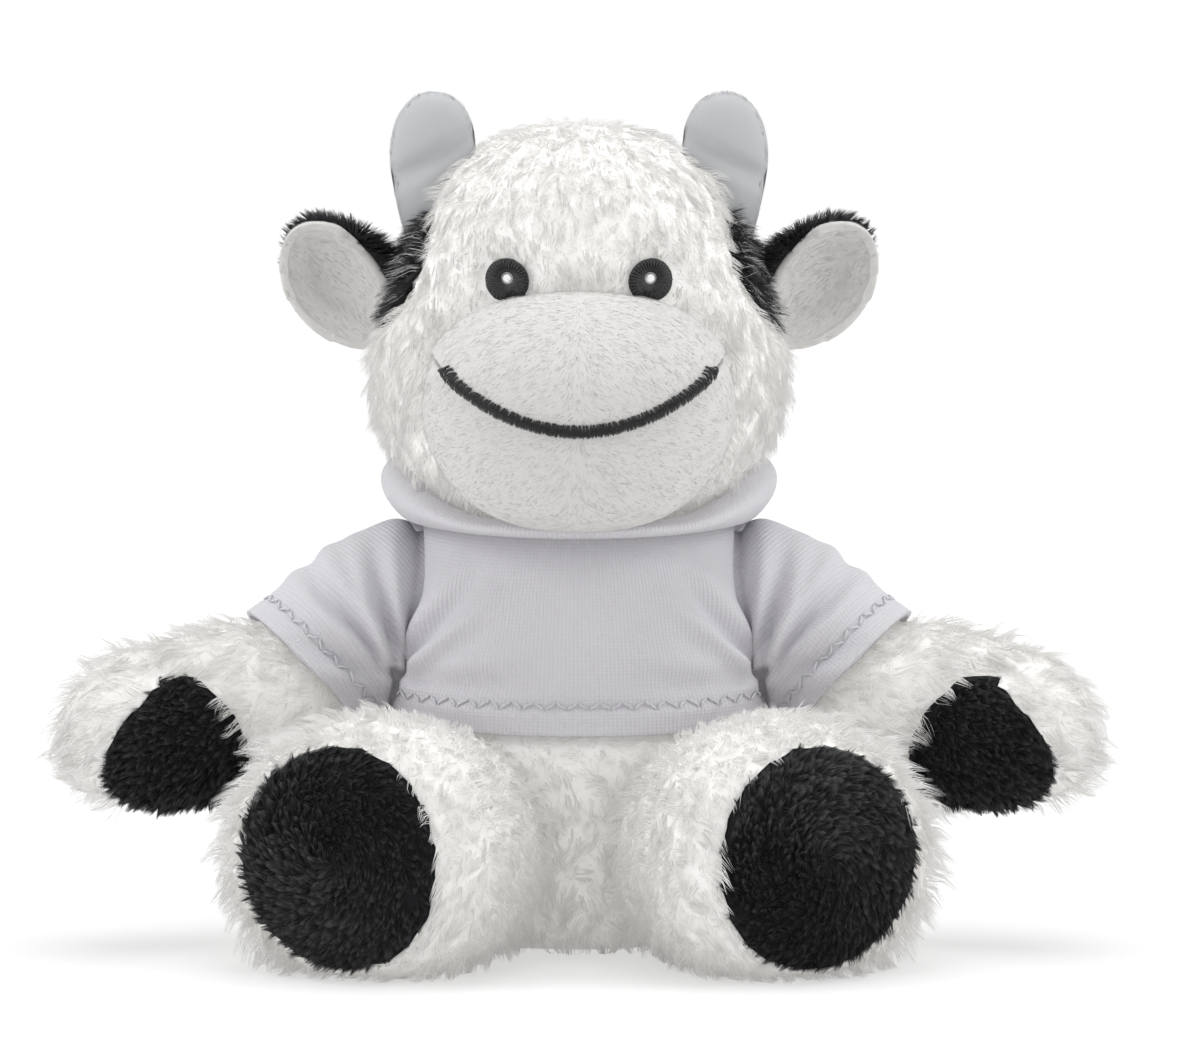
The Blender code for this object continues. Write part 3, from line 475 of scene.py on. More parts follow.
# The outer side of a skin: its faces that see nothing of the skin itself
def outerSide(mesh, everything=False):
    mesh.calc_loop_triangles()
    corners = np.empty(len(mesh.loop_triangles) * 3, np.int32)
    mesh.loop_triangles.foreach_get("vertices", corners)
    corners = corners.reshape(-1, 3)
    places = np.empty(len(mesh.vertices) * 3, np.float32)
    mesh.vertices.foreach_get("co", places)
    places = places.reshape(-1, 3).astype(float)
    first, second, third = (places[corners[:, number]] for number in range(3))
    crossed = np.cross(second - first, third - first)
    if not everything:
        tree = BVHTree.FromPolygons(places.tolist(), corners.tolist())
        middles = (first + second + third) / 3
        seen = []
        for middle, facing in zip(middles, unit(crossed)):
            facing = Vector(facing)
            hit = tree.ray_cast(Vector(middle) + facing * 0.00003, facing, 0.05)
            seen.append(hit[0] is None)
        corners = corners[seen]
        crossed = crossed[seen]
    normals = np.zeros_like(places)
    for number in range(3):
        np.add.at(normals, corners[:, number], crossed)
    return {
        "places": places,
        "corners": corners,
        "normals": unit(normals),
        "areas": np.linalg.norm(crossed, axis=1) / 2,
    }


def pileRoots(side, perArea, chance, keep, covers, clearOf):
    count = int(side["areas"].sum() * 1e6 * perArea)
    picked = chance.choice(len(side["areas"]), size=count, p=side["areas"] / side["areas"].sum())
    one = np.sqrt(chance.random(count))
    two = chance.random(count)
    shares = np.stack([1 - one, one * (1 - two), one * two], axis=1)[:, :, None]
    corners = side["corners"][picked]
    roots = (side["places"][corners] * shares).sum(axis=1)
    normals = unit((side["normals"][corners] * shares).sum(axis=1))
    kept = keep(roots, normals) if keep else np.ones(count, bool)
    for tree, reach in covers:
        for number in np.flatnonzero(kept):
            facing = Vector(normals[number])
            if tree.ray_cast(Vector(roots[number]) + facing * 0.0001, facing, reach)[0] is not None:
                kept[number] = False
    if clearOf:  # no pile grows where a neighbour is seated against the skin
        seated = nodeTree(*clearOf)
        for number in np.flatnonzero(kept):
            kept[number] = seated.find_nearest(Vector(roots[number]), 0.6 * mm)[0] is None
    return roots[kept], normals[kept]


def tuftsOf(roots, size, chance):
    count = max(1, len(roots) // size)
    centres = chance.choice(len(roots), size=count, replace=False)
    finder = KDTree(count)
    for number, centre in enumerate(centres):
        finder.insert(roots[centre], number)
    finder.balance()
    nearest = np.array([finder.find(root)[1] for root in roots])
    return centres, nearest


def growPile(side, groom, seed, keep=None, covers=(), clearOf=()):
    chance = np.random.default_rng(seed)
    roots, normals = pileRoots(side, groom["perArea"], chance, keep, covers, clearOf)
    count = len(roots)
    shape = strands[groom["shape"]]
    flow = groom["flow"](roots, normals)
    flow = unit(flow - normals * (flow * normals).sum(axis=1, keepdims=True))
    centres, tuft = tuftsOf(roots, groom["tuft"], chance)
    tufts = len(centres)
    tilt = chance.normal(0, 1, (tufts, 3))[tuft]
    lift = groom["lift"] + chance.normal(0, 0.10, (tufts, 1))[tuft]
    start = unit(normals * lift + flow * (1 - lift) + tilt * groom["stray"])
    start = unit(start + chance.normal(0, 1, (count, 3)) * groom["scatter"])
    end = unit(start * 0.45 + flow * groom["bend"] + np.array([0, 0, -groom["droop"]]) + normals * 0.12)
    low, high = groom["length"]
    longer = groom["longer"](roots) if "longer" in groom else 1
    length = (low + (high - low) * chance.random(tufts)[tuft]) * mm * longer
    length = (length * (1 - 0.25 * chance.random(count)))[:, None, None]
    steps = shape["along"][None, :, None]
    paths = roots[:, None] + length * (
        start[:, None] * (steps - steps**2 / 2) + end[:, None] * (steps**2 / 2)
    )
    head = centres[tuft]
    pull = groom["tight"] * steps**1.1
    paths = paths + (paths[head] - paths) * pull
    aside = unit(np.cross(start, normals + [0.013, 0.007, 0.011]))
    upward = np.cross(start, aside)
    phase = (chance.random(tufts) * math.tau)[tuft][:, None, None]
    turned = phase + math.tau * groom["turns"] * steps
    size = groom["curl"] * mm * steps
    paths = paths + size * (np.cos(turned) - np.cos(phase)) * aside[head][:, None]
    paths = paths + size * (np.sin(turned) - np.sin(phase)) * upward[head][:, None]
    around = shape["around"][None, :, None]
    thin = groom["width"] / 2 * mm * (1 - 0.72 * steps) * (steps < 0.999)
    flat = groom["flat"] * np.cos(around) * upward[:, None]
    paths = paths + thin * (np.sin(around) * aside[:, None] + flat)
    paths[:, :, 2] = np.maximum(paths[:, :, 2], 0.0002 + 0.0002 * steps[:, :, 0])
    shade = 0.5 * chance.random(count) + 0.5 * chance.random(tufts)[tuft]
    return {"paths": paths, "shade": shade, "shape": shape}


def pileMesh(name, pile, chosen):
    shape = pile["shape"]
    paths = pile["paths"][chosen]
    count = len(paths)
    size = len(shape["along"])
    mesh = bpy.data.meshes.new(name)
    mesh.vertices.add(count * size)
    mesh.vertices.foreach_set("co", paths.astype(np.float32).ravel())
    loops = (np.arange(count)[:, None] * size + shape["loops"][None]).astype(np.int32)
    mesh.loops.add(loops.size)
    mesh.loops.foreach_set("vertex_index", loops.ravel())
    starts = np.arange(count)[:, None] * len(shape["loops"]) + shape["starts"][None]
    mesh.polygons.add(starts.size)
    mesh.polygons.foreach_set("loop_start", starts.ravel().astype(np.int32))
    bakeMap = mesh.uv_layers.new(name="OFBake")
    across = pile["shade"][chosen][:, None] * 0.94
    across = across + 0.02 + 0.015 * np.cos(shape["around"][shape["loops"]])[None]
    along = np.repeat(0.02 + 0.96 * shape["along"][shape["loops"]][None], count, axis=0)
    places = np.stack([across, along], axis=-1).astype(np.float32)
    bakeMap.data.foreach_set("uv", places.ravel())
    mesh.update(calc_edges=True)
    mesh.validate()
    return mesh


# Long rows of strands are parted into pieces of a size that a viewer can hold
def pilePieces(name, pile, finish, limit=11500, **riding):
    count = len(pile["shade"])
    parts = max(1, math.ceil(count / limit))
    order = np.argsort(pile["paths"][:, 0, 0], kind="stable")
    for number, chosen in enumerate(np.array_split(order, parts)):
        label = name if parts == 1 else f"{name}{number + 1}"
        dressed(label, pileMesh(label, pile, chosen), finish, **riding)
    say(f"{name}: {count} strands in {parts}")


# The dense lower part of long pile: a skin's outer side lifted in lumps, down to nothing at its neighbours
undercoatSpec = {"lift": 2.7, "lumps": 0.7, "pitch": 4.2, "clear": 0.7, "slope": 3.2, "floor": 0.9}


def undercoat(node, neighbours, keep=None):
    mesh = nodeCopy(node, 2)
    side = outerSide(mesh)
    trees = [nodeTree(name) for name in neighbours]
    outer = np.unique(side["corners"])
    kept = keep(side["places"][outer], side["normals"][outer]) if keep else np.ones(len(outer), bool)
    for number in outer[kept]:
        vertex = mesh.vertices[number]
        near = min(tree.find_nearest(vertex.co)[3] for tree in trees)
        share = max(0, min(1, (near / mm - undercoatSpec["clear"]) / undercoatSpec["slope"]))
        lump = noise.noise(vertex.co / (undercoatSpec["pitch"] * mm)) * undercoatSpec["lumps"]
        vertex.co += Vector(side["normals"][number]) * (undercoatSpec["lift"] + lump) * share * mm
        vertex.co.z = max(undercoatSpec["floor"] * mm, vertex.co.z)
    mesh.update()
    return mesh


say("head")

# Head

def headFlow(roots, normals):
    away = roots - np.array([0, 0.004, 0.150])
    away[:, 2] = 0
    across = unit(away)
    fall = np.clip((0.150 - roots[:, 2:3]) / 0.030, 0, 1)
    return across * (1.05 - 0.5 * fall) + np.array([0, 0, -0.85]) * fall


def headLonger(roots):
    face = np.clip((-roots[:, 1] - 0.010) / 0.012, 0, 1)
    high = np.clip((roots[:, 2] - 0.108) / 0.010, 0, 1)
    near = np.exp(-(((np.abs(roots[:, 0]) - 0.0125) / 0.009) ** 2 + ((roots[:, 2] - 0.121) / 0.011) ** 2))
    crown = np.clip((roots[:, 2] - 0.138) / 0.008, 0, 1)
    return (1 - 0.25 * face * high) * (1 - 0.62 * near * face) * (1 - 0.35 * crown)


longGroom = {
    "shape": "short", "perArea": 2.1, "length": (3.2, 5.8), "width": 0.27,
    "lift": 0.38, "stray": 0.13, "scatter": 0.08, "bend": 0.75, "droop": 0.25,
    "tuft": 11, "tight": 0.46, "curl": 0.4, "turns": 0.6, "flat": 0.4,
}

headNeighbours = [
    "nose_panel", "chin_panel", "left_eye", "right_eye", "left_horn_skin", "right_horn_skin",
    "left_ear_back", "right_ear_back", "left_ear_lining", "right_ear_lining", "left_head_patch",
    "right_head_patch", "hood", "top_front", "top_back",
]
headSkin = undercoat("head_skin", headNeighbours)
dressed("headSkin", headSkin, "whiteBacking", body="head", replaces=["head_skin"], fill=0.9)
filling("headFilling", "head_stuffing", body="head")
muzzleTree = nodeTree("nose_panel", "chin_panel")
eyeTree = nodeTree("left_eye", "right_eye")
headCovers = [(muzzleTree, 0.03), (eyeTree, 0.004)]
headPile = growPile(
    outerSide(headSkin), {**longGroom, "flow": headFlow, "longer": headLonger}, 11, covers=headCovers,
    clearOf=headNeighbours,
)
pilePieces("headPile", headPile, "whitePile", body="head")

# Black panels round the ear and horn roots, with thin white curls over them
patchGroom = {
    **longGroom, "shape": "spike", "perArea": 8.0, "length": (4.0, 6.4), "width": 0.26,
    "flow": headFlow, "curl": 0.45, "tuft": 6, "lift": 0.8,
}
wispGroom = {
    **longGroom, "shape": "long", "perArea": 0.7, "length": (5.0, 8.5), "width": 0.15,
    "flow": headFlow, "curl": 0.9, "turns": 0.8, "tuft": 3, "lift": 0.62, "stray": 0.4,
}

for label, side in sides.items():
    patch = nodeCopy(f"{label}_head_patch")
    dressed(f"{label}HeadPatch", patch, "blackBacking", body="head", replaces=[f"{label}_head_patch"])
    pile = growPile(outerSide(patch), patchGroom, 20 + side, clearOf=["head_skin"])
    pilePieces(f"{label}HeadPatchPile", pile, "blackPile", body="head")
    pile = growPile(outerSide(patch), wispGroom, 24 + side, clearOf=["head_skin"])
    pilePieces(f"{label}HeadPatchWisps", pile, "whitePile", body="head")

# Muzzle: two lobes parted along the smile

say("muzzle")
smileLine = {"height": 98.8 * mm, "rise": 8.8 * mm, "span": 47.0 * mm, "gap": 0.25 * mm}
noseForm = (
    (0.000, 0.00, 0.00, 0.00), (0.100, 0.62, 0.66, 0.60), (0.280, 0.89, 0.93, 0.90),
    (0.500, 1.00, 1.00, 1.00), (0.720, 0.90, 0.85, 0.90), (0.900, 0.60, 0.54, 0.60),
    (1.000, 0.00, 0.00, 0.00),
)
chinForm = (
    (0.000, 0.00, 0.00, 0.00), (0.080, 0.59, 0.74, 0.56), (0.250, 0.87, 0.93, 0.87),
    (0.430, 0.99, 1.00, 0.98), (0.620, 1.00, 0.97, 1.00), (0.790, 0.88, 0.84, 0.88),
    (0.920, 0.58, 0.54, 0.58), (1.000, 0.00, 0.00, 0.00),
)


muzzleSpec = {
    "nose": {"low": 0.0865, "high": 0.1225, "forward": 0.0330, "width": 0.0572, "depth": 0.0480},
    "chin": {"low": 0.0770, "high": 0.1215, "forward": 0.0355, "width": 0.0562, "depth": 0.0390},
    "around": 10, "fullness": 0.86,
}


def muzzleLobe(form, label, parted):
    spec = muzzleSpec[label]
    path = uprightPath(spec["low"], spec["high"], spec["forward"])
    around = muzzleSpec["around"]
    lobe = formMesh(form, path, spec["width"], spec["depth"], around, muzzleSpec["fullness"], 4)
    return reshaped(lobe, parted)


def smileHeight(across):
    return smileLine["height"] + smileLine["rise"] * (across / (smileLine["span"] / 2)) ** 2


# Flattens a lobe against the parting, clear of the other lobe
def drawnIn(vertex, edge):
    past = abs(vertex.co.z - edge)
    share = 1 - 0.10 * min(1, past / (1.2 * mm)) - 0.3 * min(1, past / (12 * mm))
    vertex.co.x *= share
    vertex.co.y = -0.033 + (vertex.co.y + 0.033) * share
    edge += smileHeight(vertex.co.x) - smileHeight(vertex.co.x / share)
    vertex.co.z = edge + (vertex.co.z - edge) * 0.03


def partedAbove(shape):
    for vertex in shape.verts:
        edge = smileHeight(vertex.co.x) + smileLine["gap"]
        if vertex.co.z < edge:
            drawnIn(vertex, edge)


def partedBelow(shape):
    for vertex in shape.verts:
        edge = smileHeight(vertex.co.x) - smileLine["gap"]
        if vertex.co.z > edge:
            drawnIn(vertex, edge)
        crease = math.exp(-(((vertex.co.z - 0.0885 - 3.0 * vertex.co.x**2) / 0.0009) ** 2))
        if vertex.co.y < -0.035 and abs(vertex.co.x) < 0.017:
            vertex.co.y += 0.00035 * crease


noseMesh = muzzleLobe(noseForm, "nose", partedAbove)
chinMesh = muzzleLobe(chinForm, "chin", partedBelow)
for name, mesh, node in (("nosePanel", noseMesh, "nose_panel"), ("chinPanel", chinMesh, "chin_panel")):
    dressed(name, mesh, "whiteVelboa", body="head", replaces=[node], fill=0.9)


def muzzleFlow(roots, normals):
    sideward = np.tanh(roots[:, 0:1] / (5 * mm))
    return np.concatenate([sideward, 0 * sideward, -0.5 - 0.3 * np.sin(roots[:, 2:3] * 300)], axis=1)


def shown(roots, normals):  # the muzzle's front, clear of the smile's thread
    past = np.abs(roots[:, 2] - smileHeight(roots[:, 0]))
    beyond = np.abs(roots[:, 0]) > smileLine["span"] * 0.53
    return (roots[:, 1] < -0.018) & ((past > 1.5 * mm) | beyond)


velboaGroom = {
    "shape": "spike", "perArea": 3.2, "length": (0.9, 1.4), "width": 0.09, "flow": muzzleFlow,
    "lift": 0.08, "stray": 0.04, "scatter": 0.04, "bend": 0.8, "droop": 0.0,
    "tuft": 8, "tight": 0.15, "curl": 0.0, "turns": 0.0, "flat": 0.2,
}
for name, mesh, seed in (("nosePile", noseMesh, 31), ("chinPile", chinMesh, 32)):
    pile = growPile(outerSide(mesh, True), velboaGroom, seed, shown)
    pilePieces(name, pile, "whiteNap", limit=25000, body="head")

# Threads: short round stitches along lists of points

def stitchMesh(name, lines, radius, sidesRound=5):
    shape = bmesh.new()
    for line in lines:
        line = [Vector(point) for point in line]
        rings = []
        for number, point in enumerate(line):
            ahead = line[min(number + 1, len(line) - 1)] - line[max(number - 1, 0)]
            turn = ahead.to_track_quat("Z", "Y").to_matrix().to_4x4()
            end = number in (0, len(line) - 1)
            made = bmesh.ops.create_circle(
                shape, cap_ends=end, segments=sidesRound, radius=radius * (0.55 if end else 1),
                matrix=Matrix.Translation(point) @ turn,
            )
            ring = made["verts"]
            rings.append([edge for edge in {e for v in ring for e in v.link_edges}
                          if all(corner in ring for corner in edge.verts)])
        for first, second in zip(rings, rings[1:]):
            bmesh.ops.bridge_loops(shape, edges=first + second)
    bmesh.ops.recalc_face_normals(shape, faces=shape.faces)
    mesh = bpy.data.meshes.new(name)
    shape.to_mesh(mesh)
    shape.free()
    return mesh


stitchSpec = {"tall": 0.70 * mm, "raised": 0.12 * mm, "bow": 0.30 * mm, "radius": 0.21 * mm, "fill": 0.84}


# A zigzag row; spotAt gives the cloth's point and normal for a share of the way round and a rise
def stitchRow(count, spotAt):
    lines = []
    for number in range(count):
        line = []
        for step in range(5):
            turn = (number + stitchSpec["fill"] * step / 4) / count
            rise = stitchSpec["tall"] * (step / 2 - 1) * (1 if number % 2 else -1)
            place, normal, _, _ = spotAt(turn, rise)
            if place is not None:
                bow = stitchSpec["raised"] + stitchSpec["bow"] * math.sin(math.pi * step / 4)
                line.append(place + normal * bow)
        if len(line) == 5:
            lines.append(line)
    return lines


def struck(tree, across, height):  # a tree's point and normal seen from the front
    return tree.ray_cast(Vector((across, -0.12, height)), Vector((0, 1, 0)))[:2]


muzzleShell = treeOf(noseMesh, chinMesh)
threadChance = np.random.default_rng(5)
smileThread = {
    "count": 236, "reach": 0.514, "half": 1.06, "uneven": 0.28, "cap": 0.24, "rise": 0.45, "bow": 0.5,
    "radius": 0.21 * mm,
}


# Short stitches across the parting, their ends uneven, with a thicker knot at each end of the smile
def smileStitches():
    spec = smileThread
    lines = []
    for number in range(spec["count"]):
        share = (number / (spec["count"] - 1) * 2 - 1) * spec["reach"]
        across = smileLine["span"] * share
        knot = math.exp(-(((abs(share) - spec["reach"] + 0.018) / 0.014) ** 2))
        height = smileHeight(across) + 0.5 * mm * knot
        ahead = Vector((1, 0, 2 * smileLine["rise"] * across / (smileLine["span"] / 2) ** 2)).normalized()
        upward = Vector((-ahead.z, 0, ahead.x))
        half = (spec["half"] + threadChance.random() * spec["uneven"] + spec["cap"] * knot) * mm
        if abs(share) > spec["reach"] - 0.006:
            half *= 0.55
        lean = (threadChance.random() - 0.5) * 0.8 * mm
        ends = []
        for step in (-1, 1):
            spot = Vector((across, 0, height)) + (upward * half + ahead * lean) * step
            ends.append(struck(muzzleShell, spot.x, spot.z))
        facing = (ends[0][1] + ends[1][1]).normalized()
        line = []
        for step in (-1, -0.5, 0, 0.5, 1):
            place = ends[0][0].lerp(ends[1][0], (step + 1) / 2)
            raised = spec["rise"] + spec["bow"] * (1 - step**2) - 0.3 * abs(step) ** 4
            line.append(place + facing * raised * mm)
        lines.append(line)
    return lines


smileMesh = stitchMesh("smileStitches", smileStitches(), smileThread["radius"], 4)
dressed("smileStitches", smileMesh, "blackThread", body="head", replaces=["smile"])

# Eyes

eyeSpec = {
    "spacing": 25.7 * mm, "height": 122.8 * mm, "width": 8.0 * mm, "tall": 7.8 * mm, "stitches": 72,
    "radius": 0.15 * mm,
}


# Stitches run out from the middle of the eye, every other one from farther in
def eyeStitches(side, tree):
    lines = []
    middle = side * eyeSpec["spacing"] / 2
    for number in range(eyeSpec["stitches"]):
        angle = math.tau * number / eyeSpec["stitches"]
        inner = 0.26 if number % 2 else 0.52
        outer = 0.98 + threadChance.random() * 0.12
        line = []
        for step in range(5):
            reach = inner + (outer - inner) * step / 4
            across = middle + math.cos(angle) * reach * eyeSpec["width"] / 2
            height = eyeSpec["height"] + math.sin(angle) * reach * eyeSpec["tall"] / 2
            place, normal = struck(tree, across, height)
            if place is None or place.y > -0.015:
                break
            raised = 0.08 + 0.22 * math.sin(math.pi * step / 4) * (0.6 + 0.6 * threadChance.random())
            line.append(place + normal * raised * mm)
        if len(line) > 2:
            lines.append(line)
    return lines


for label, side in sides.items():
    eyeMesh = nodeCopy(f"{label}_eye", 1)
    dressed(f"{label}Eye", eyeMesh, "blackThread", body="head", replaces=[f"{label}_eye"])
    stitches = stitchMesh("eyeStitches", eyeStitches(side, treeOf(eyeMesh)), eyeSpec["radius"], 4)
    dressed(f"{label}EyeStitches", stitches, "eyeThread", body="head")
    dressed(f"{label}EyeHighlight", nodeCopy(f"{label}_eye_highlight", 1), "whiteThread",
            body="head", replaces=[f"{label}_eye_highlight"])

# Horns

say("horns and ears")
hornForm = (
    (0.000, 0.00, 0.00, 0.00), (0.050, 0.48, 0.62, 0.62), (0.320, 0.76, 0.95, 0.95),
    (0.600, 1.00, 1.02, 1.02), (0.840, 0.85, 0.84, 0.84), (0.965, 0.46, 0.52, 0.52),
    (1.000, 0.00, 0.00, 0.00),
)
hornSpec = {
    "root": (0.027477, 0.0010, 0.1240), "tip": (0.025773, 0, 0.1535), "width": 0.0165, "depth": 0.0092,
    "crease": 1.3 * mm, "creaseHeight": 0.1415, "creaseWide": 0.0020,
}


def upFlow(roots, normals):
    return np.tile([0.0, 0.0, 1.0], (len(roots), 1)) + roots * [4.0, 0, 0]


def offTheFace(roots, normals):  # the horns' flat faces are brushed smooth, their edges are fuzzy
    return np.abs(normals[:, 1]) < 0.62


hornGroom = {**velboaGroom, "flow": upFlow, "length": (0.8, 1.2), "lift": 0.26, "perArea": 5.0}


def makeHorn(label, side):
    spec = hornSpec
    path = straightPath(mirrored(spec["root"], side), mirrored(spec["tip"], side), (0, 1, 0))
    hornMesh = formMesh(hornForm, path, spec["width"], spec["depth"], 6, 1, 4)

    def creased(shape):
        for vertex in shape.verts:
            off = vertex.co.z - spec["creaseHeight"] - (vertex.co.x * side - 0.0262) * -0.55
            if vertex.co.y < 0:
                vertex.co.y += spec["crease"] * math.exp(-((off / spec["creaseWide"]) ** 2))

    reshaped(hornMesh, creased)
    dressed(f"{label}HornSkin", hornMesh, "greyVelboa", body="head",
            replaces=[f"{label}_horn_skin"], fill=0.7)
    filling(f"{label}HornFilling", f"{label}_horn_stuffing", body="head")
    pile = growPile(outerSide(hornMesh, True), hornGroom, 40 + side, offTheFace)
    pilePieces(f"{label}HornPile", pile, "greyNap", limit=25000, body="head")


for label, side in sides.items():
    makeHorn(label, side)

# Ears

earForm = (
    (0.000, 0.00, 0.00, 0.00), (0.080, 0.50, 0.55, 0.55), (0.280, 0.88, 0.90, 0.90),
    (0.550, 1.00, 1.00, 1.00), (0.800, 0.74, 0.80, 0.80), (0.940, 0.36, 0.42, 0.42),
    (1.000, 0.00, 0.00, 0.00),
)

earSpec = {
    "middle": (0.043026, -0.0010, 0.1190), "looking": (0.22, -0.93, -0.28), "slope": 56, "half": 0.0135,
    "width": 0.0202, "depth": 0.0150, "cut": 1.6 * mm, "hollow": 2.4, "rim": 3.5, "rimWide": 2.4 * mm,
    "thickness": 1.7 * mm, "foldPoint": (0.0352, 0, 0.1178), "foldFacing": (-0.823, 0, 0.567),
    "folded": 3.5 * mm, "upperEdge": (-0.829, 0, 0.559),
}
earBackGroom = {
    **longGroom, "shape": "spike", "perArea": 11.0, "length": (2.4, 3.4), "width": 0.24,
    "curl": 0.3, "tuft": 5, "lift": 0.8,
}
earLiningGroom = {**velboaGroom, "length": (0.9, 1.4), "perArea": 4.0, "lift": 0.12}


def makeEar(label, side):
    spec = earSpec
    body = f"{label}_ear"
    earBack = nodeCopy(f"{label}_ear_back", 1)
    dressed(f"{label}EarBack", earBack, "blackBacking", body=body, replaces=[f"{label}_ear_back"])
    slope = math.radians(spec["slope"])
    middle = mirrored(spec["middle"], side)
    half = Vector((side * math.cos(slope), 0, math.sin(slope))) * spec["half"]
    looking = mirrored(spec["looking"], side).normalized()
    path = straightPath(middle - half, middle + half, looking)
    earMesh = formMesh(earForm, path, spec["width"], spec["depth"], 6, 1, 3)

    # The leaf's upper inner edge is folded back, and the black back shows there
    foldPoint = mirrored(spec["foldPoint"], side)
    foldFacing = mirrored(spec["foldFacing"], side).normalized()

    def cupped(shape):
        rim = middle + looking * spec["cut"]
        cutAway(shape, rim, looking)
        for vertex, normal in [(v, v.normal.copy()) for v in shape.verts]:
            behind = (rim - vertex.co).dot(looking)
            near = math.exp(-((behind / spec["rimWide"]) ** 2))
            vertex.co += normal * (-spec["hollow"] + spec["rim"] * near) * mm
            past = (vertex.co - foldPoint).dot(foldFacing)
            if past > 0:
                vertex.co -= foldFacing * past * 0.85 + looking * min(past * 0.9, spec["folded"])

    earLining = smoothed(thickened(reshaped(earMesh, cupped), spec["thickness"]), 1)
    dressed(f"{label}EarLining", earLining, "whiteVelboa", body=body, replaces=[f"{label}_ear_lining"])

    def earFlow(roots, normals):
        return np.tile([0.6 * side, 0.2, 0.5], (len(roots), 1))

    def backFlow(roots, normals):
        past = (roots - np.array(foldPoint)) @ np.array(foldFacing)
        inner = np.clip(past[:, None] / (3 * mm), 0, 1)
        return np.array([0.6 * side, 0.2, 0.5]) * (1 - inner) + np.array([-0.8 * side, -0.3, 0.4]) * inner

    def backLonger(roots):
        past = (roots - np.array(foldPoint)) @ np.array(foldFacing)
        low = np.clip((0.0420 - np.abs(roots[:, 0])) / (6 * mm), 0, 1)
        return 1 + 1.1 * np.clip(past / (3 * mm), 0, 1) * low

    centre = np.array(middle)
    hollow = np.array(looking)
    upperEdge = np.array(mirrored(spec["upperEdge"], side))

    def offTheRim(roots, normals):
        folded = (roots - np.array(foldPoint)) @ np.array(foldFacing) > -0.5 * mm
        low = (roots - centre) @ hollow < -1.6 * mm + 2.4 * mm * ((roots - centre) @ upperEdge > 2 * mm)
        return (low & (normals @ hollow < 0.35)) | folded

    groom = {**earBackGroom, "flow": backFlow, "longer": backLonger}
    neighbours = [f"{label}_ear_lining", "head_skin"]
    pile = growPile(outerSide(earBack), groom, 50 + side, offTheRim, clearOf=neighbours)
    pilePieces(f"{label}EarBackPile", pile, "blackPile", body=body)
    groom = {**earLiningGroom, "flow": earFlow}
    pile = growPile(outerSide(earLining, True), groom, 60 + side, clearOf=[f"{label}_ear_back"])
    pilePieces(f"{label}EarLiningPile", pile, "whiteNap", limit=25000, body=body)


for label, side in sides.items():
    makeEar(label, side)

# Torso: curly pile shows only below the top's hem

say("torso")
topForm = {
    "hem": 40.8 * mm, "neckline": 77.6 * mm, "thickness": 1.2 * mm, "ease": 0.8 * mm,
    "hemBand": 5.3 * mm, "stitches": 108,
}


def bellyFlow(roots, normals):
    wander = np.sin(roots[:, 0:1] * 420 + 1.3) * np.cos(roots[:, 2:3] * 380)
    return np.array([0, 0, -1.0]) + np.concatenate([wander, 0 * wander, 0.4 * wander], axis=1)


def belowHem(roots, normals):
    return roots[:, 2] < topForm["hem"] - 1 * mm


def bellyShown(roots, normals):
    return (roots[:, 2] < topForm["hem"] + 3 * mm) & (normals[:, 2] > -0.8)


torsoNeighbours = ["left_leg_skin", "right_leg_skin", "top_front", "top_back", "tail"]
torsoSkin = undercoat("torso_skin", torsoNeighbours + ["tail_tuft"], belowHem)
dressed("torsoSkin", torsoSkin, "whiteBacking", body="root", replaces=["torso_skin"], fill=0.85)
filling("torsoFilling", "torso_stuffing", body="root")
bellyGroom = {
    **longGroom, "perArea": 1.3, "length": (3.4, 5.6), "flow": bellyFlow, "curl": 0.7,
    "turns": 0.8, "lift": 0.55, "stray": 0.32, "tuft": 8, "tight": 0.55, "width": 0.32,
}
bellyPile = growPile(outerSide(torsoSkin), bellyGroom, 71, bellyShown, clearOf=torsoNeighbours)
pilePieces("bellyPile", bellyPile, "whitePile", body="root")

# Arms

say("arms and legs")
armSpec = {
    "root": (0.021978, 0.0020, 0.0680), "elbow": (0.04403, -0.0020, 0.0520),
    "wrist": (0.052984, -0.0120, 0.0350), "tip": (0.090502, -0.0210, 0.0410),
    "cuff": 0.500, "cuffFacing": (0.72, -0.20, -0.66),
}
handGroom = {
    **longGroom, "shape": "long", "perArea": 1.7, "length": (4.2, 8.2), "width": 0.25,
    "lift": 0.42, "tight": 0.68, "stray": 0.2, "curl": 0.6, "tuft": 10,
}
padGroom = {
    **longGroom, "shape": "spike", "perArea": 12.0, "length": (2.0, 3.2), "width": 0.24,
    "curl": 0.0, "tuft": 12, "lift": 0.72, "tight": 0.6, "stray": 0.30,
}


def armPathOf(side):
    return curvedPath(*[mirrored(armSpec[joint], side) for joint in ("root", "elbow", "wrist", "tip")])


def padFront(roots, normals):
    return normals[:, 1] < 0.0


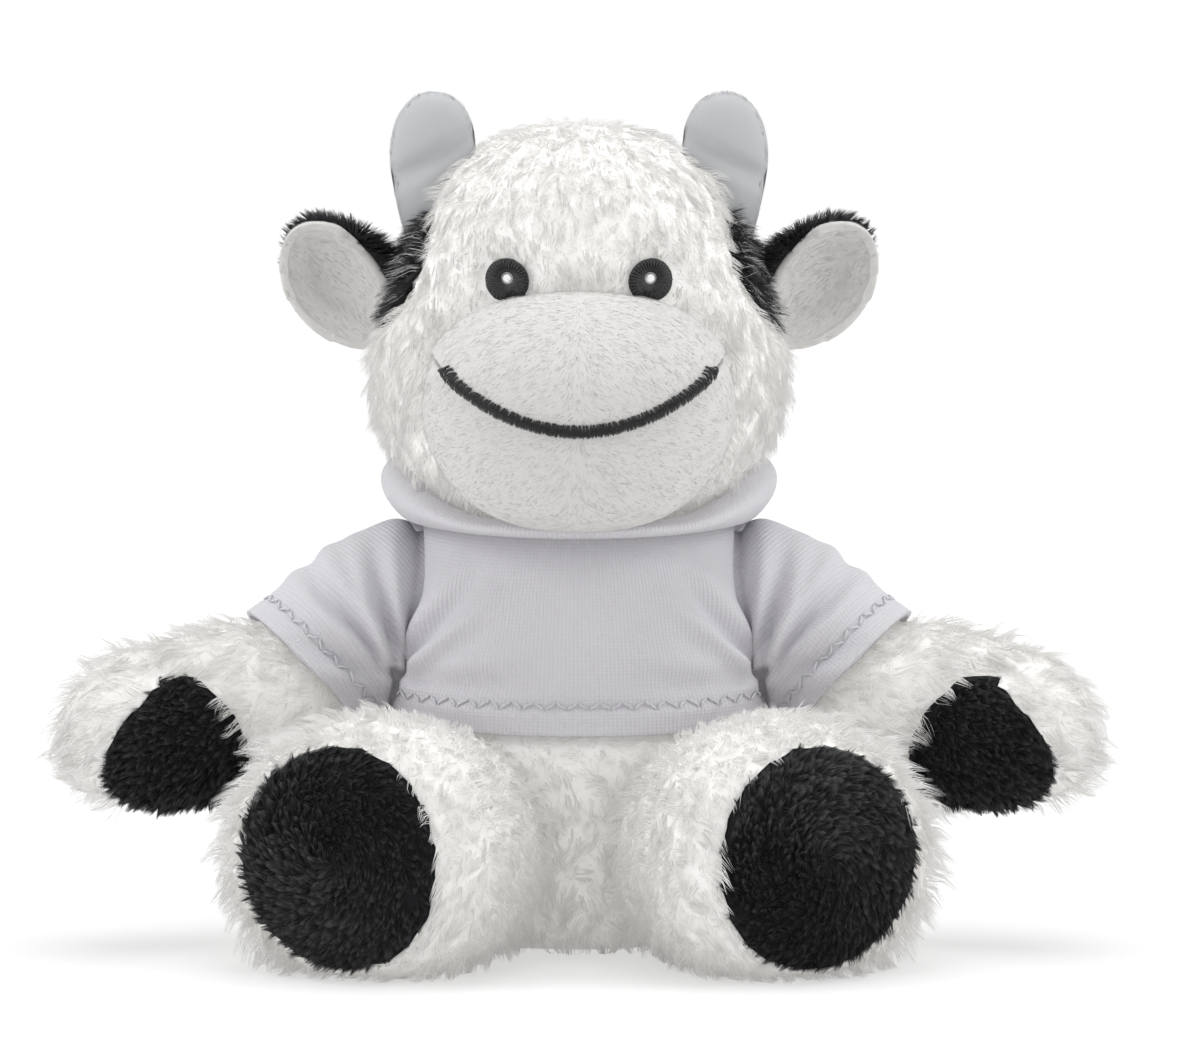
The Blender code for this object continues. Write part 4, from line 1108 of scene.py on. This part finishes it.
def makeArm(label, side):
    body = f"{label}_arm"
    cuff = armPathOf(side)(armSpec["cuff"]).translation
    cuffFacing = mirrored(armSpec["cuffFacing"], side).normalized()

    def pastCuff(roots, normals):
        return (roots - np.array(cuff)) @ np.array(cuffFacing) > -2.6 * mm

    armSkin = undercoat(f"{label}_arm_skin", [f"{label}_sleeve", f"{label}_paw_pad"], pastCuff)
    dressed(f"{label}ArmSkin", armSkin, "whiteBacking", body=body,
            replaces=[f"{label}_arm_skin"], fill=0.85)
    filling(f"{label}ArmFilling", f"{label}_arm_stuffing", body=body)
    pad = nodeCopy(f"{label}_paw_pad")
    dressed(f"{label}PawPad", pad, "blackBacking", body=body, replaces=[f"{label}_paw_pad"])
    toTip = (mirrored(armSpec["tip"], side) - cuff).normalized()

    def handFlow(roots, normals):
        return np.tile(list(toTip), (len(roots), 1)) + np.array([0, 0, -0.10])

    groom = {**handGroom, "flow": handFlow}
    pile = growPile(outerSide(armSkin), groom, 80 + side, pastCuff, clearOf=[f"{label}_paw_pad"])
    pilePieces(f"{label}HandPile", pile, "whitePile", body=body)
    groom = {**padGroom, "flow": handFlow}
    pile = growPile(outerSide(pad), groom, 84 + side, padFront, clearOf=[f"{label}_arm_skin"])
    pilePieces(f"{label}PawPadPile", pile, "blackPile", body=body)


for label, side in sides.items():
    makeArm(label, side)

# Legs

legSpec = {
    "hip": (0.0200, -0.0200, 0.0220), "knee": (0.0270, -0.0340, 0.0220),
    "ankle": (0.0345, -0.0440, 0.0220), "end": (0.0444, -0.0605, 0.0220),
}
legGroom = {
    **longGroom, "perArea": 2.0, "length": (3.6, 6.8), "width": 0.27,
    "lift": 0.60, "tight": 0.66, "stray": 0.2, "tuft": 10,
}
soleGroom = {
    **longGroom, "shape": "spike", "perArea": 11.0, "length": (2.0, 3.2), "width": 0.25,
    "curl": 0.0, "tuft": 13, "lift": 0.58, "tight": 0.60, "stray": 0.30,
}
torsoTree = nodeTree("torso_skin")


def makeLeg(label, side):
    body = f"{label}_leg"
    end = mirrored(legSpec["end"], side)
    heading = (end - mirrored(legSpec["ankle"], side)).normalized()
    bend = ("root", body, mirrored(legSpec["hip"], side), mirrored(legSpec["knee"], side))
    legSkin = undercoat(f"{label}_leg_skin", ["torso_skin", f"{label}_sole", "top_front", "top_back"])
    legSide = outerSide(legSkin)
    dressed(f"{label}LegSkin", legSkin, "whiteBacking", bend=bend,
            replaces=[f"{label}_leg_skin"], fill=0.85)
    filling(f"{label}LegFilling", f"{label}_leg_stuffing", bend=bend)
    sole = nodeCopy(f"{label}_sole")
    dressed(f"{label}Sole", sole, "blackBacking", body=body, replaces=[f"{label}_sole"])

    def legFlow(roots, normals):
        return np.tile(list(heading * 0.5), (len(roots), 1)) + np.array([0, 0, -0.35]) + normals * 0.2

    def legLonger(roots):  # longer on the outer side, shorter where it would cover the hem
        outward = np.clip((roots[:, 0] * side - 0.040) / 0.012, 0, 1)
        nearHem = np.clip((roots[:, 2] - 0.034) / 0.006, 0, 1)
        nearHem = nearHem * np.clip((0.034 - roots[:, 0] * side) / 0.006, 0, 1)
        return 1 + 0.45 * outward - 0.45 * nearHem

    groom = {**legGroom, "flow": legFlow, "longer": legLonger}
    pile = growPile(legSide, groom, 90 + side, covers=[(torsoTree, 0.002)],
                    clearOf=[f"{label}_sole", "torso_skin"])
    pilePieces(f"{label}LegPile", pile, "whitePile", bend=bend)

    def soleFlow(roots, normals):
        off = roots - np.array(end)
        return np.cross(off, np.array(heading)) * 1.0 + off * 0.6

    def soleFront(roots, normals):
        return normals @ np.array(heading) > -0.2

    groom = {**soleGroom, "flow": soleFlow}
    pile = growPile(outerSide(sole), groom, 96 + side, soleFront, clearOf=[f"{label}_leg_skin"])
    pilePieces(f"{label}SolePile", pile, "blackPile", limit=17000, body=body)


for label, side in sides.items():
    makeLeg(label, side)

# Tail

tailGroom = {**longGroom, "perArea": 3.0, "length": (3.0, 4.5), "lift": 0.5}
tuftGroom = {**longGroom, "perArea": 4.5, "length": (4.0, 6.5), "lift": 0.45}
tailBend = ("root", "tail", (0, 0.0330, 0.0270), (0, 0.0400, 0.0270))
tailMesh = nodeCopy("tail", 1)
tailSide = outerSide(tailMesh)
dressed("tailCord", tailMesh, "whiteBacking", bend=tailBend, replaces=["tail"], fill=0.8)


def tailFlow(roots, normals):
    return np.tile([0, 0.3, -1.0], (len(roots), 1))


tailPile = growPile(tailSide, {**tailGroom, "flow": tailFlow}, 101)
pilePieces("tailPile", tailPile, "whitePile", bend=tailBend)
tuftMesh = nodeCopy("tail_tuft", 1)
dressed("tailTuft", tuftMesh, "blackBacking", body="tail", replaces=["tail_tuft"], fill=0.8)
tuftPile = growPile(outerSide(tuftMesh), {**tuftGroom, "flow": tailFlow}, 102)
pilePieces("tailTuftPile", tuftPile, "blackPile", body="tail")

# Hooded top

say("top")
torsoStations = (
    (0.000, 0.00, 0.00, 0.00), (0.010, 0.70, 0.64, 0.67), (0.060, 0.92, 0.86, 0.88),
    (0.170, 1.00, 0.99, 0.95), (0.330, 1.00, 1.00, 0.95), (0.480, 0.96, 0.93, 0.92),
    (0.620, 0.905, 0.86, 0.865), (0.740, 0.825, 0.78, 0.79), (0.855, 0.70, 0.68, 0.695),
    (0.950, 0.48, 0.48, 0.50), (1.000, 0.00, 0.00, 0.00),
)
# Creases run from each underarm: slope in degrees, then length, depth and width in millimetres
folds = {
    "underarm": Vector((33.0, 0, 49.0)) * mm,
    "chest": ((52, 26, 1.7, 1.2), (26, 19, 0.8, 1.5), (2, 28, 1.1, 1.8)),
    "sleeve": ((80, 25, 1.8, 1.1), (50, 28, 1.8, 1.2), (22, 21, 1.0, 1.5)),
}


panelSpec = {
    "seam": (1.2, 1.0), "hemLine": (0.45, 0.8), "hemRise": 0.35 * mm, "hemSlope": 1.5 * mm,
    "back": 0.5, "girth": 36 * mm, "overlap": 0.15 * mm,
}
sleeveSpec = {
    "width": 0.0290, "shorter": 2.0 * mm, "band": 4.4 * mm, "drape": 4.2 * mm, "drapeLength": 16 * mm,
    "shoulder": 1.2 * mm, "whole": 30 * mm, "seam": (1.1, 1.0), "cuffLine": (0.40, 0.7),
    "girth": 14.5 * mm, "hanging": (-0.66, 0, -0.72), "hinge": (0.02997, 0, 0.0700), "stitches": 46,
}


# The hollow of a seam or a stitched line, its depth and width in millimetres
def groove(off, deep, wide):
    return -deep * mm * math.exp(-((off / (wide * mm)) ** 2))


def creaseRise(across, above, creases):
    rise = 0.0
    for slope, reach, deep, wide in creases:
        slope = math.radians(slope)
        along = (across * math.cos(slope) + above * math.sin(slope)) / (reach * mm)
        if 0 < along < 1:
            off = (above * math.cos(slope) - across * math.sin(slope)) / (wide * mm * (0.6 + 0.9 * along))
            held = math.sin(math.pi * along**0.55) ** 0.8
            swell = 1.2 * math.exp(-(((abs(off) - 2.2) / 1.3) ** 2))
            rise += held * deep * (swell - 0.75 * math.exp(-(off**2)))
    return rise * mm


garment = formMesh(
    torsoStations, uprightPath(0, 0.0890, 0), 0.0740, 0.0710, 20, 1, 4,
    ease=topForm["ease"] + topForm["thickness"],
)
garmentTree = treeOf(garment)
sleeveStations = (
    (0.000, 0.00, 0.00, 0.00), (0.020, 0.62, 0.62, 0.62), (0.110, 1.02, 1.10, 1.02),
    (0.240, 1.06, 1.16, 1.16), (0.360, 1.01, 1.08, 1.16), (0.470, 1.04, 1.08, 1.14),
    (0.610, 1.06, 1.10, 1.10), (0.650, 0.60, 0.60, 0.60), (0.660, 0.00, 0.00, 0.00),
)
sleeves = {}
for label, side in sides.items():
    width = sleeveSpec["width"]
    sleeves[label] = formMesh(sleeveStations, armPathOf(side), width, width, 8, 1, 4)
sleeveTree = treeOf(*sleeves.values())


def panelShape(shape):
    for vertex, normal in [(v, v.normal.copy()) for v in shape.verts]:
        if not topForm["hem"] - 3 * mm < vertex.co.z < topForm["neckline"] + 3 * mm:
            continue
        above = vertex.co.z - folds["underarm"].z
        rise = creaseRise(folds["underarm"].x - abs(vertex.co.x), above, folds["chest"])
        if vertex.co.y > 0:
            rise *= panelSpec["back"]
        near, facing, _, distance = sleeveTree.find_nearest(vertex.co)
        inside = (vertex.co - near).dot(facing) < 0
        band = vertex.co.z - topForm["hem"] - topForm["hemBand"]
        hem = groove(band, *panelSpec["hemLine"])
        hem += panelSpec["hemRise"] * max(0, min(1, -band / panelSpec["hemSlope"]))
        vertex.co += normal * ((0 if inside else rise) + groove(distance, *panelSpec["seam"]) + hem)


garmentShaped = reshaped(garment.copy(), panelShape)


def knitCoordinates(mesh, place):
    attribute = mesh.attributes.new("knit", "FLOAT_VECTOR", "POINT")
    values = np.array([place(vertex.co) for vertex in mesh.vertices], np.float32)
    attribute.data.foreach_set("vector", values.ravel())


def girthPlace(co):
    return (math.atan2(co.x, abs(co.y)) * panelSpec["girth"], co.z, 0)


def clothArea(name, mesh):  # one side of a thickened sheet
    area = sum(face.area for face in mesh.polygons) / 2
    say(f"{name} area {area * 1e6:.0f} mm2")
    return area


def makePanel(name, node, facing):
    def panelCut(shape):
        cutAway(shape, Vector((0, 0, topForm["hem"])), Vector((0, 0, -1)))
        cutAway(shape, Vector((0, 0, topForm["neckline"])), Vector((0, 0, 1)))
        cutAway(shape, -facing * panelSpec["overlap"], facing)

    panel = thickened(reshaped(garmentShaped.copy(), panelCut), topForm["thickness"])
    knitCoordinates(panel, girthPlace)
    area = clothArea(name, panel)
    made = dressed(name, panel, "jersey", body="root", replaces=[node])
    area * 0.99


makePanel("topFront", "top_front", Vector((0, 1, 0)))
makePanel("topBack", "top_back", Vector((0, -1, 0)))


def makeSleeve(label, side):
    spec = sleeveSpec
    armPath = armPathOf(side)
    facing = mirrored(armSpec["cuffFacing"], side).normalized()
    cuffPlace = armPath(armSpec["cuff"]).translation - facing * spec["shorter"]
    hanging = mirrored(spec["hanging"], side).normalized()

    def sleeveShape(shape):
        for vertex, normal in [(v, v.normal.copy()) for v in shape.verts]:
            distance = garmentTree.find_nearest(vertex.co)[3]
            off = vertex.co - mirrored(folds["underarm"], side)
            rise = creaseRise(off.x * side, off.z, folds["sleeve"]) * (1 if vertex.co.y < 0.004 else 0.5)
            back = (vertex.co - cuffPlace).dot(facing)
            lines = groove(distance, *spec["seam"]) + groove(back + spec["band"], *spec["cuffLine"])
            low = (vertex.co - cuffPlace).dot(hanging) / spec["girth"]
            close = max(0, min(1, 1 + back / spec["drapeLength"]))
            vertex.co += normal * (lines + rise)
            vertex.co += hanging * (spec["drape"] * max(0, low) ** 2 * close**2)
            high = math.exp(-((((abs(vertex.co.x) - 0.033) / 0.005)) ** 2)) * max(0, normal.z) ** 2
            vertex.co.z += spec["shoulder"] * high
        cutAway(shape, cuffPlace, facing)
        hidden = []
        for vertex in shape.verts:
            near, outward, _, distance = garmentTree.find_nearest(vertex.co)
            early = (vertex.co - cuffPlace).dot(facing) < -spec["whole"]
            if early and (vertex.co - near).dot(outward) < 0 and distance > 2.2 * mm:
                hidden.append(vertex)
        bmesh.ops.delete(shape, geom=hidden, context="VERTS")

    sleeve = thickened(reshaped(sleeves[label], sleeveShape), topForm["thickness"])
    start = armPath(0.05).translation
    axis = (armPath(0.5).translation - start).normalized()
    across = axis.cross(Vector((0, 0, 1))).normalized()
    upward = across.cross(axis)

    def sleevePlace(co):
        off = co - start
        return (off.dot(axis), math.atan2(abs(off.dot(across)), off.dot(upward)) * spec["girth"], 0)

    knitCoordinates(sleeve, sleevePlace)
    area = clothArea(f"{label}Sleeve", sleeve)
    hinge = mirrored(spec["hinge"], side)
    bend = ("root", f"{label}_arm", hinge, hinge + axis * 0.012)
    made = dressed(f"{label}Sleeve", sleeve, "jersey", bend=bend, replaces=[f"{label}_sleeve"])
    area * 0.99
    shell = treeOf(sleeve)
    sidewards = facing.cross(Vector((0, 0, 1))).normalized()

    def cuffSpot(turn, rise):
        out = sidewards * math.cos(math.tau * turn) + facing.cross(sidewards) * math.sin(math.tau * turn)
        place = cuffPlace - facing * (spec["band"] - rise) + out * 0.03
        return shell.ray_cast(place, -out)

    stitches = stitchMesh("cuffStitches", stitchRow(spec["stitches"], cuffSpot), stitchSpec["radius"])
    dressed(f"{label}CuffStitches", stitches, "topThread", bend=bend)


for label, side in sides.items():
    makeSleeve(label, side)

# Hood, thrown back

hoodSpec = {
    "seamHeight": 77.6, "seamRadius": 27.9, "rimRadius": 33.5, "bulge": 2.6, "depth": 0.955,
    "flare": 0.34, "ease": 3.6, "roll": 2.2, "frontTop": 78.6, "sideTop": 87.6, "backTop": 89.0,
    "frontDrop": 1.0, "backDrop": 23.5, "chinShare": 0.16, "around": 64, "rows": 24,
    "girth": 33 * mm,
}


def eased(share):
    share = max(0, min(1, share))
    return share * share * (3 - 2 * share)


def hoodSection(turn, along):
    spec = hoodSpec
    sideward = eased((turn - spec["chinShare"]) / (0.5 - spec["chinShare"]))
    backward = eased(2 * turn - 1)
    top = spec["frontTop"] + (spec["sideTop"] - spec["frontTop"]) * sideward
    top += (spec["backTop"] - spec["sideTop"]) * backward
    drop = spec["frontDrop"] + (spec["backDrop"] - spec["frontDrop"]) * backward
    low = spec["seamRadius"] + spec["ease"] + spec["flare"] * drop
    if along <= 0.5:
        down = 2 * along
        radius = spec["seamRadius"] + (low - spec["seamRadius"]) * math.sqrt(down)
        return radius, spec["seamHeight"] - drop * down
    up = 2 * along - 1
    radius = low + (spec["rimRadius"] - low) * up + spec["bulge"] * math.sin(math.pi * up)
    radius -= spec["roll"] * max(0, (up - 0.62) / 0.38) ** 2
    bottom = spec["seamHeight"] - drop
    return radius, bottom + (top - bottom) * up


def hoodMesh():
    sheet = bmesh.new()
    bmesh.ops.create_grid(sheet, x_segments=hoodSpec["around"], y_segments=hoodSpec["rows"], size=1)
    for vertex in sheet.verts:
        angle = math.pi * vertex.co.x
        radius, height = hoodSection(1 - abs(vertex.co.x), (vertex.co.y + 1) / 2)
        depth = radius * hoodSpec["depth"]
        vertex.co = Vector((radius * math.sin(angle), depth * math.cos(angle), height)) * mm
    bmesh.ops.remove_doubles(sheet, verts=sheet.verts, dist=0.05 * mm)
    bmesh.ops.recalc_face_normals(sheet, faces=sheet.faces)
    mesh = bpy.data.meshes.new("hood")
    sheet.to_mesh(mesh)
    sheet.free()
    thing = newObject("hoodWall", mesh)
    wall = thing.modifiers.new("wall", "SOLIDIFY")
    wall.thickness = topForm["thickness"]
    wall.offset = 0
    rounder = thing.modifiers.new("rounder", "SUBSURF")
    rounder.levels = 1
    rounder.render_levels = 1
    return evaluatedMesh(thing)


def hoodPlace(co):
    return (math.atan2(abs(co.x), -co.y) * hoodSpec["girth"], co.z + math.hypot(co.x, co.y), 0)


hood = hoodMesh()
knitCoordinates(hood, hoodPlace)
area = clothArea("hood", hood)
made = dressed("hood", hood, "jersey", body="root", replaces=["hood"])
area * 0.99

# Stitches along the hem

garmentShell = treeOf(garmentShaped)


def hemSpot(turn, rise):
    facing = Vector((math.sin(math.tau * turn), -math.cos(math.tau * turn), 0))
    height = topForm["hem"] + topForm["hemBand"] + rise
    return garmentShell.ray_cast(facing * 0.09 + Vector((0, 0, height)), -facing)


hemStitches = stitchMesh("hemStitches", stitchRow(topForm["stitches"], hemSpot), stitchSpec["radius"])
dressed("hemStitches", hemStitches, "topThread", body="root")

# Stage

say("stage")


def floorFinish():
    finish = Finish("floor", 0.9)
    grain = finish.noise(finish.objectPlace(), 30.0)
    finish.colour(finish.mixed(grain, (0.90, 0.90, 0.90), (0.92, 0.92, 0.92)))
    glow = finish.node("Emission", None, {"Color": (1, 1, 1, 1), "Strength": 1.0})
    surface = Wire(finish, finish.shader.outputs[0])
    finish.finishWith("Material Output", finish.backdropRays() * 0.48, surface, glow)
    return finish.material


floor = bmesh.new()
bmesh.ops.create_circle(floor, cap_ends=True, segments=64, radius=9.0)
floorMesh = bpy.data.meshes.new("floor")
floor.to_mesh(floorMesh)
floor.free()
floorMesh.materials.append(floorFinish())
newObject("floor", floorMesh)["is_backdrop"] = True


def softLight(name, place, size, power):
    lamp = bpy.data.lights.new(name, "AREA")
    lamp.energy = power
    lamp.size = size
    made = newObject(name, lamp)
    made.location = place
    made.rotation_mode = "QUATERNION"
    made.rotation_quaternion = (Vector((0, 0, 0.07)) - Vector(place)).to_track_quat("-Z", "Y")


softLight("frontLight", (-0.3, -3.0, 1.1), 2.2, 4.0)
softLight("leftLight", (3.0, -0.7, 1.6), 2.2, 46.0)
softLight("rightLight", (-3.0, -0.7, 1.6), 2.2, 49.0)
softLight("topLight", (0.1, 0.2, 3.4), 2.6, 72.0)


# White where the camera looks, dimmer as a light
def studioWorld(strength):
    world = bpy.data.worlds.new("studio")
    world.use_nodes = True
    network = Network(world.node_tree)
    dim = network.tree.nodes["Background"]
    dim.inputs["Color"].default_value = (1, 1, 1, 1)
    dim.inputs["Strength"].default_value = strength
    bright = network.node("Background", None, {"Color": (1, 1, 1, 1), "Strength": 1.0})
    network.finishWith("World Output", network.backdropRays(), Wire(network, dim.outputs[0]), bright)
    return world


scene.world = studioWorld(0.46)
scene.view_settings.view_transform = "Standard"

# Camera: far off with a long lens, eight degrees above level
shot = {"elevation": 8.0, "distance": 4.0, "width": 0.21768, "across": 0.0038, "height": 0.0730}
rise = math.radians(shot["elevation"])
forward = Vector((0, math.cos(rise), -math.sin(rise)))
upward = Vector((0, math.sin(rise), math.cos(rise)))
camera = bpy.data.objects.new("camera", bpy.data.cameras.new("camera"))
scene.collection.objects.link(camera)
camera.data.lens = 36 * shot["distance"] / shot["width"]
camera.data.clip_end = 30
camera.location = Vector((shot["across"], 0, 0)) + upward * shot["height"] - forward * shot["distance"]
camera.rotation_euler = (math.radians(90) - rise, 0, 0)
scene.camera = camera

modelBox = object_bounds()
say(f"cad {[tuple(round(v * 1000, 1) for v in c) for c in cadBox]}")
say(f"visual {[tuple(round(v * 1000, 1) for v in c) for c in modelBox]}")
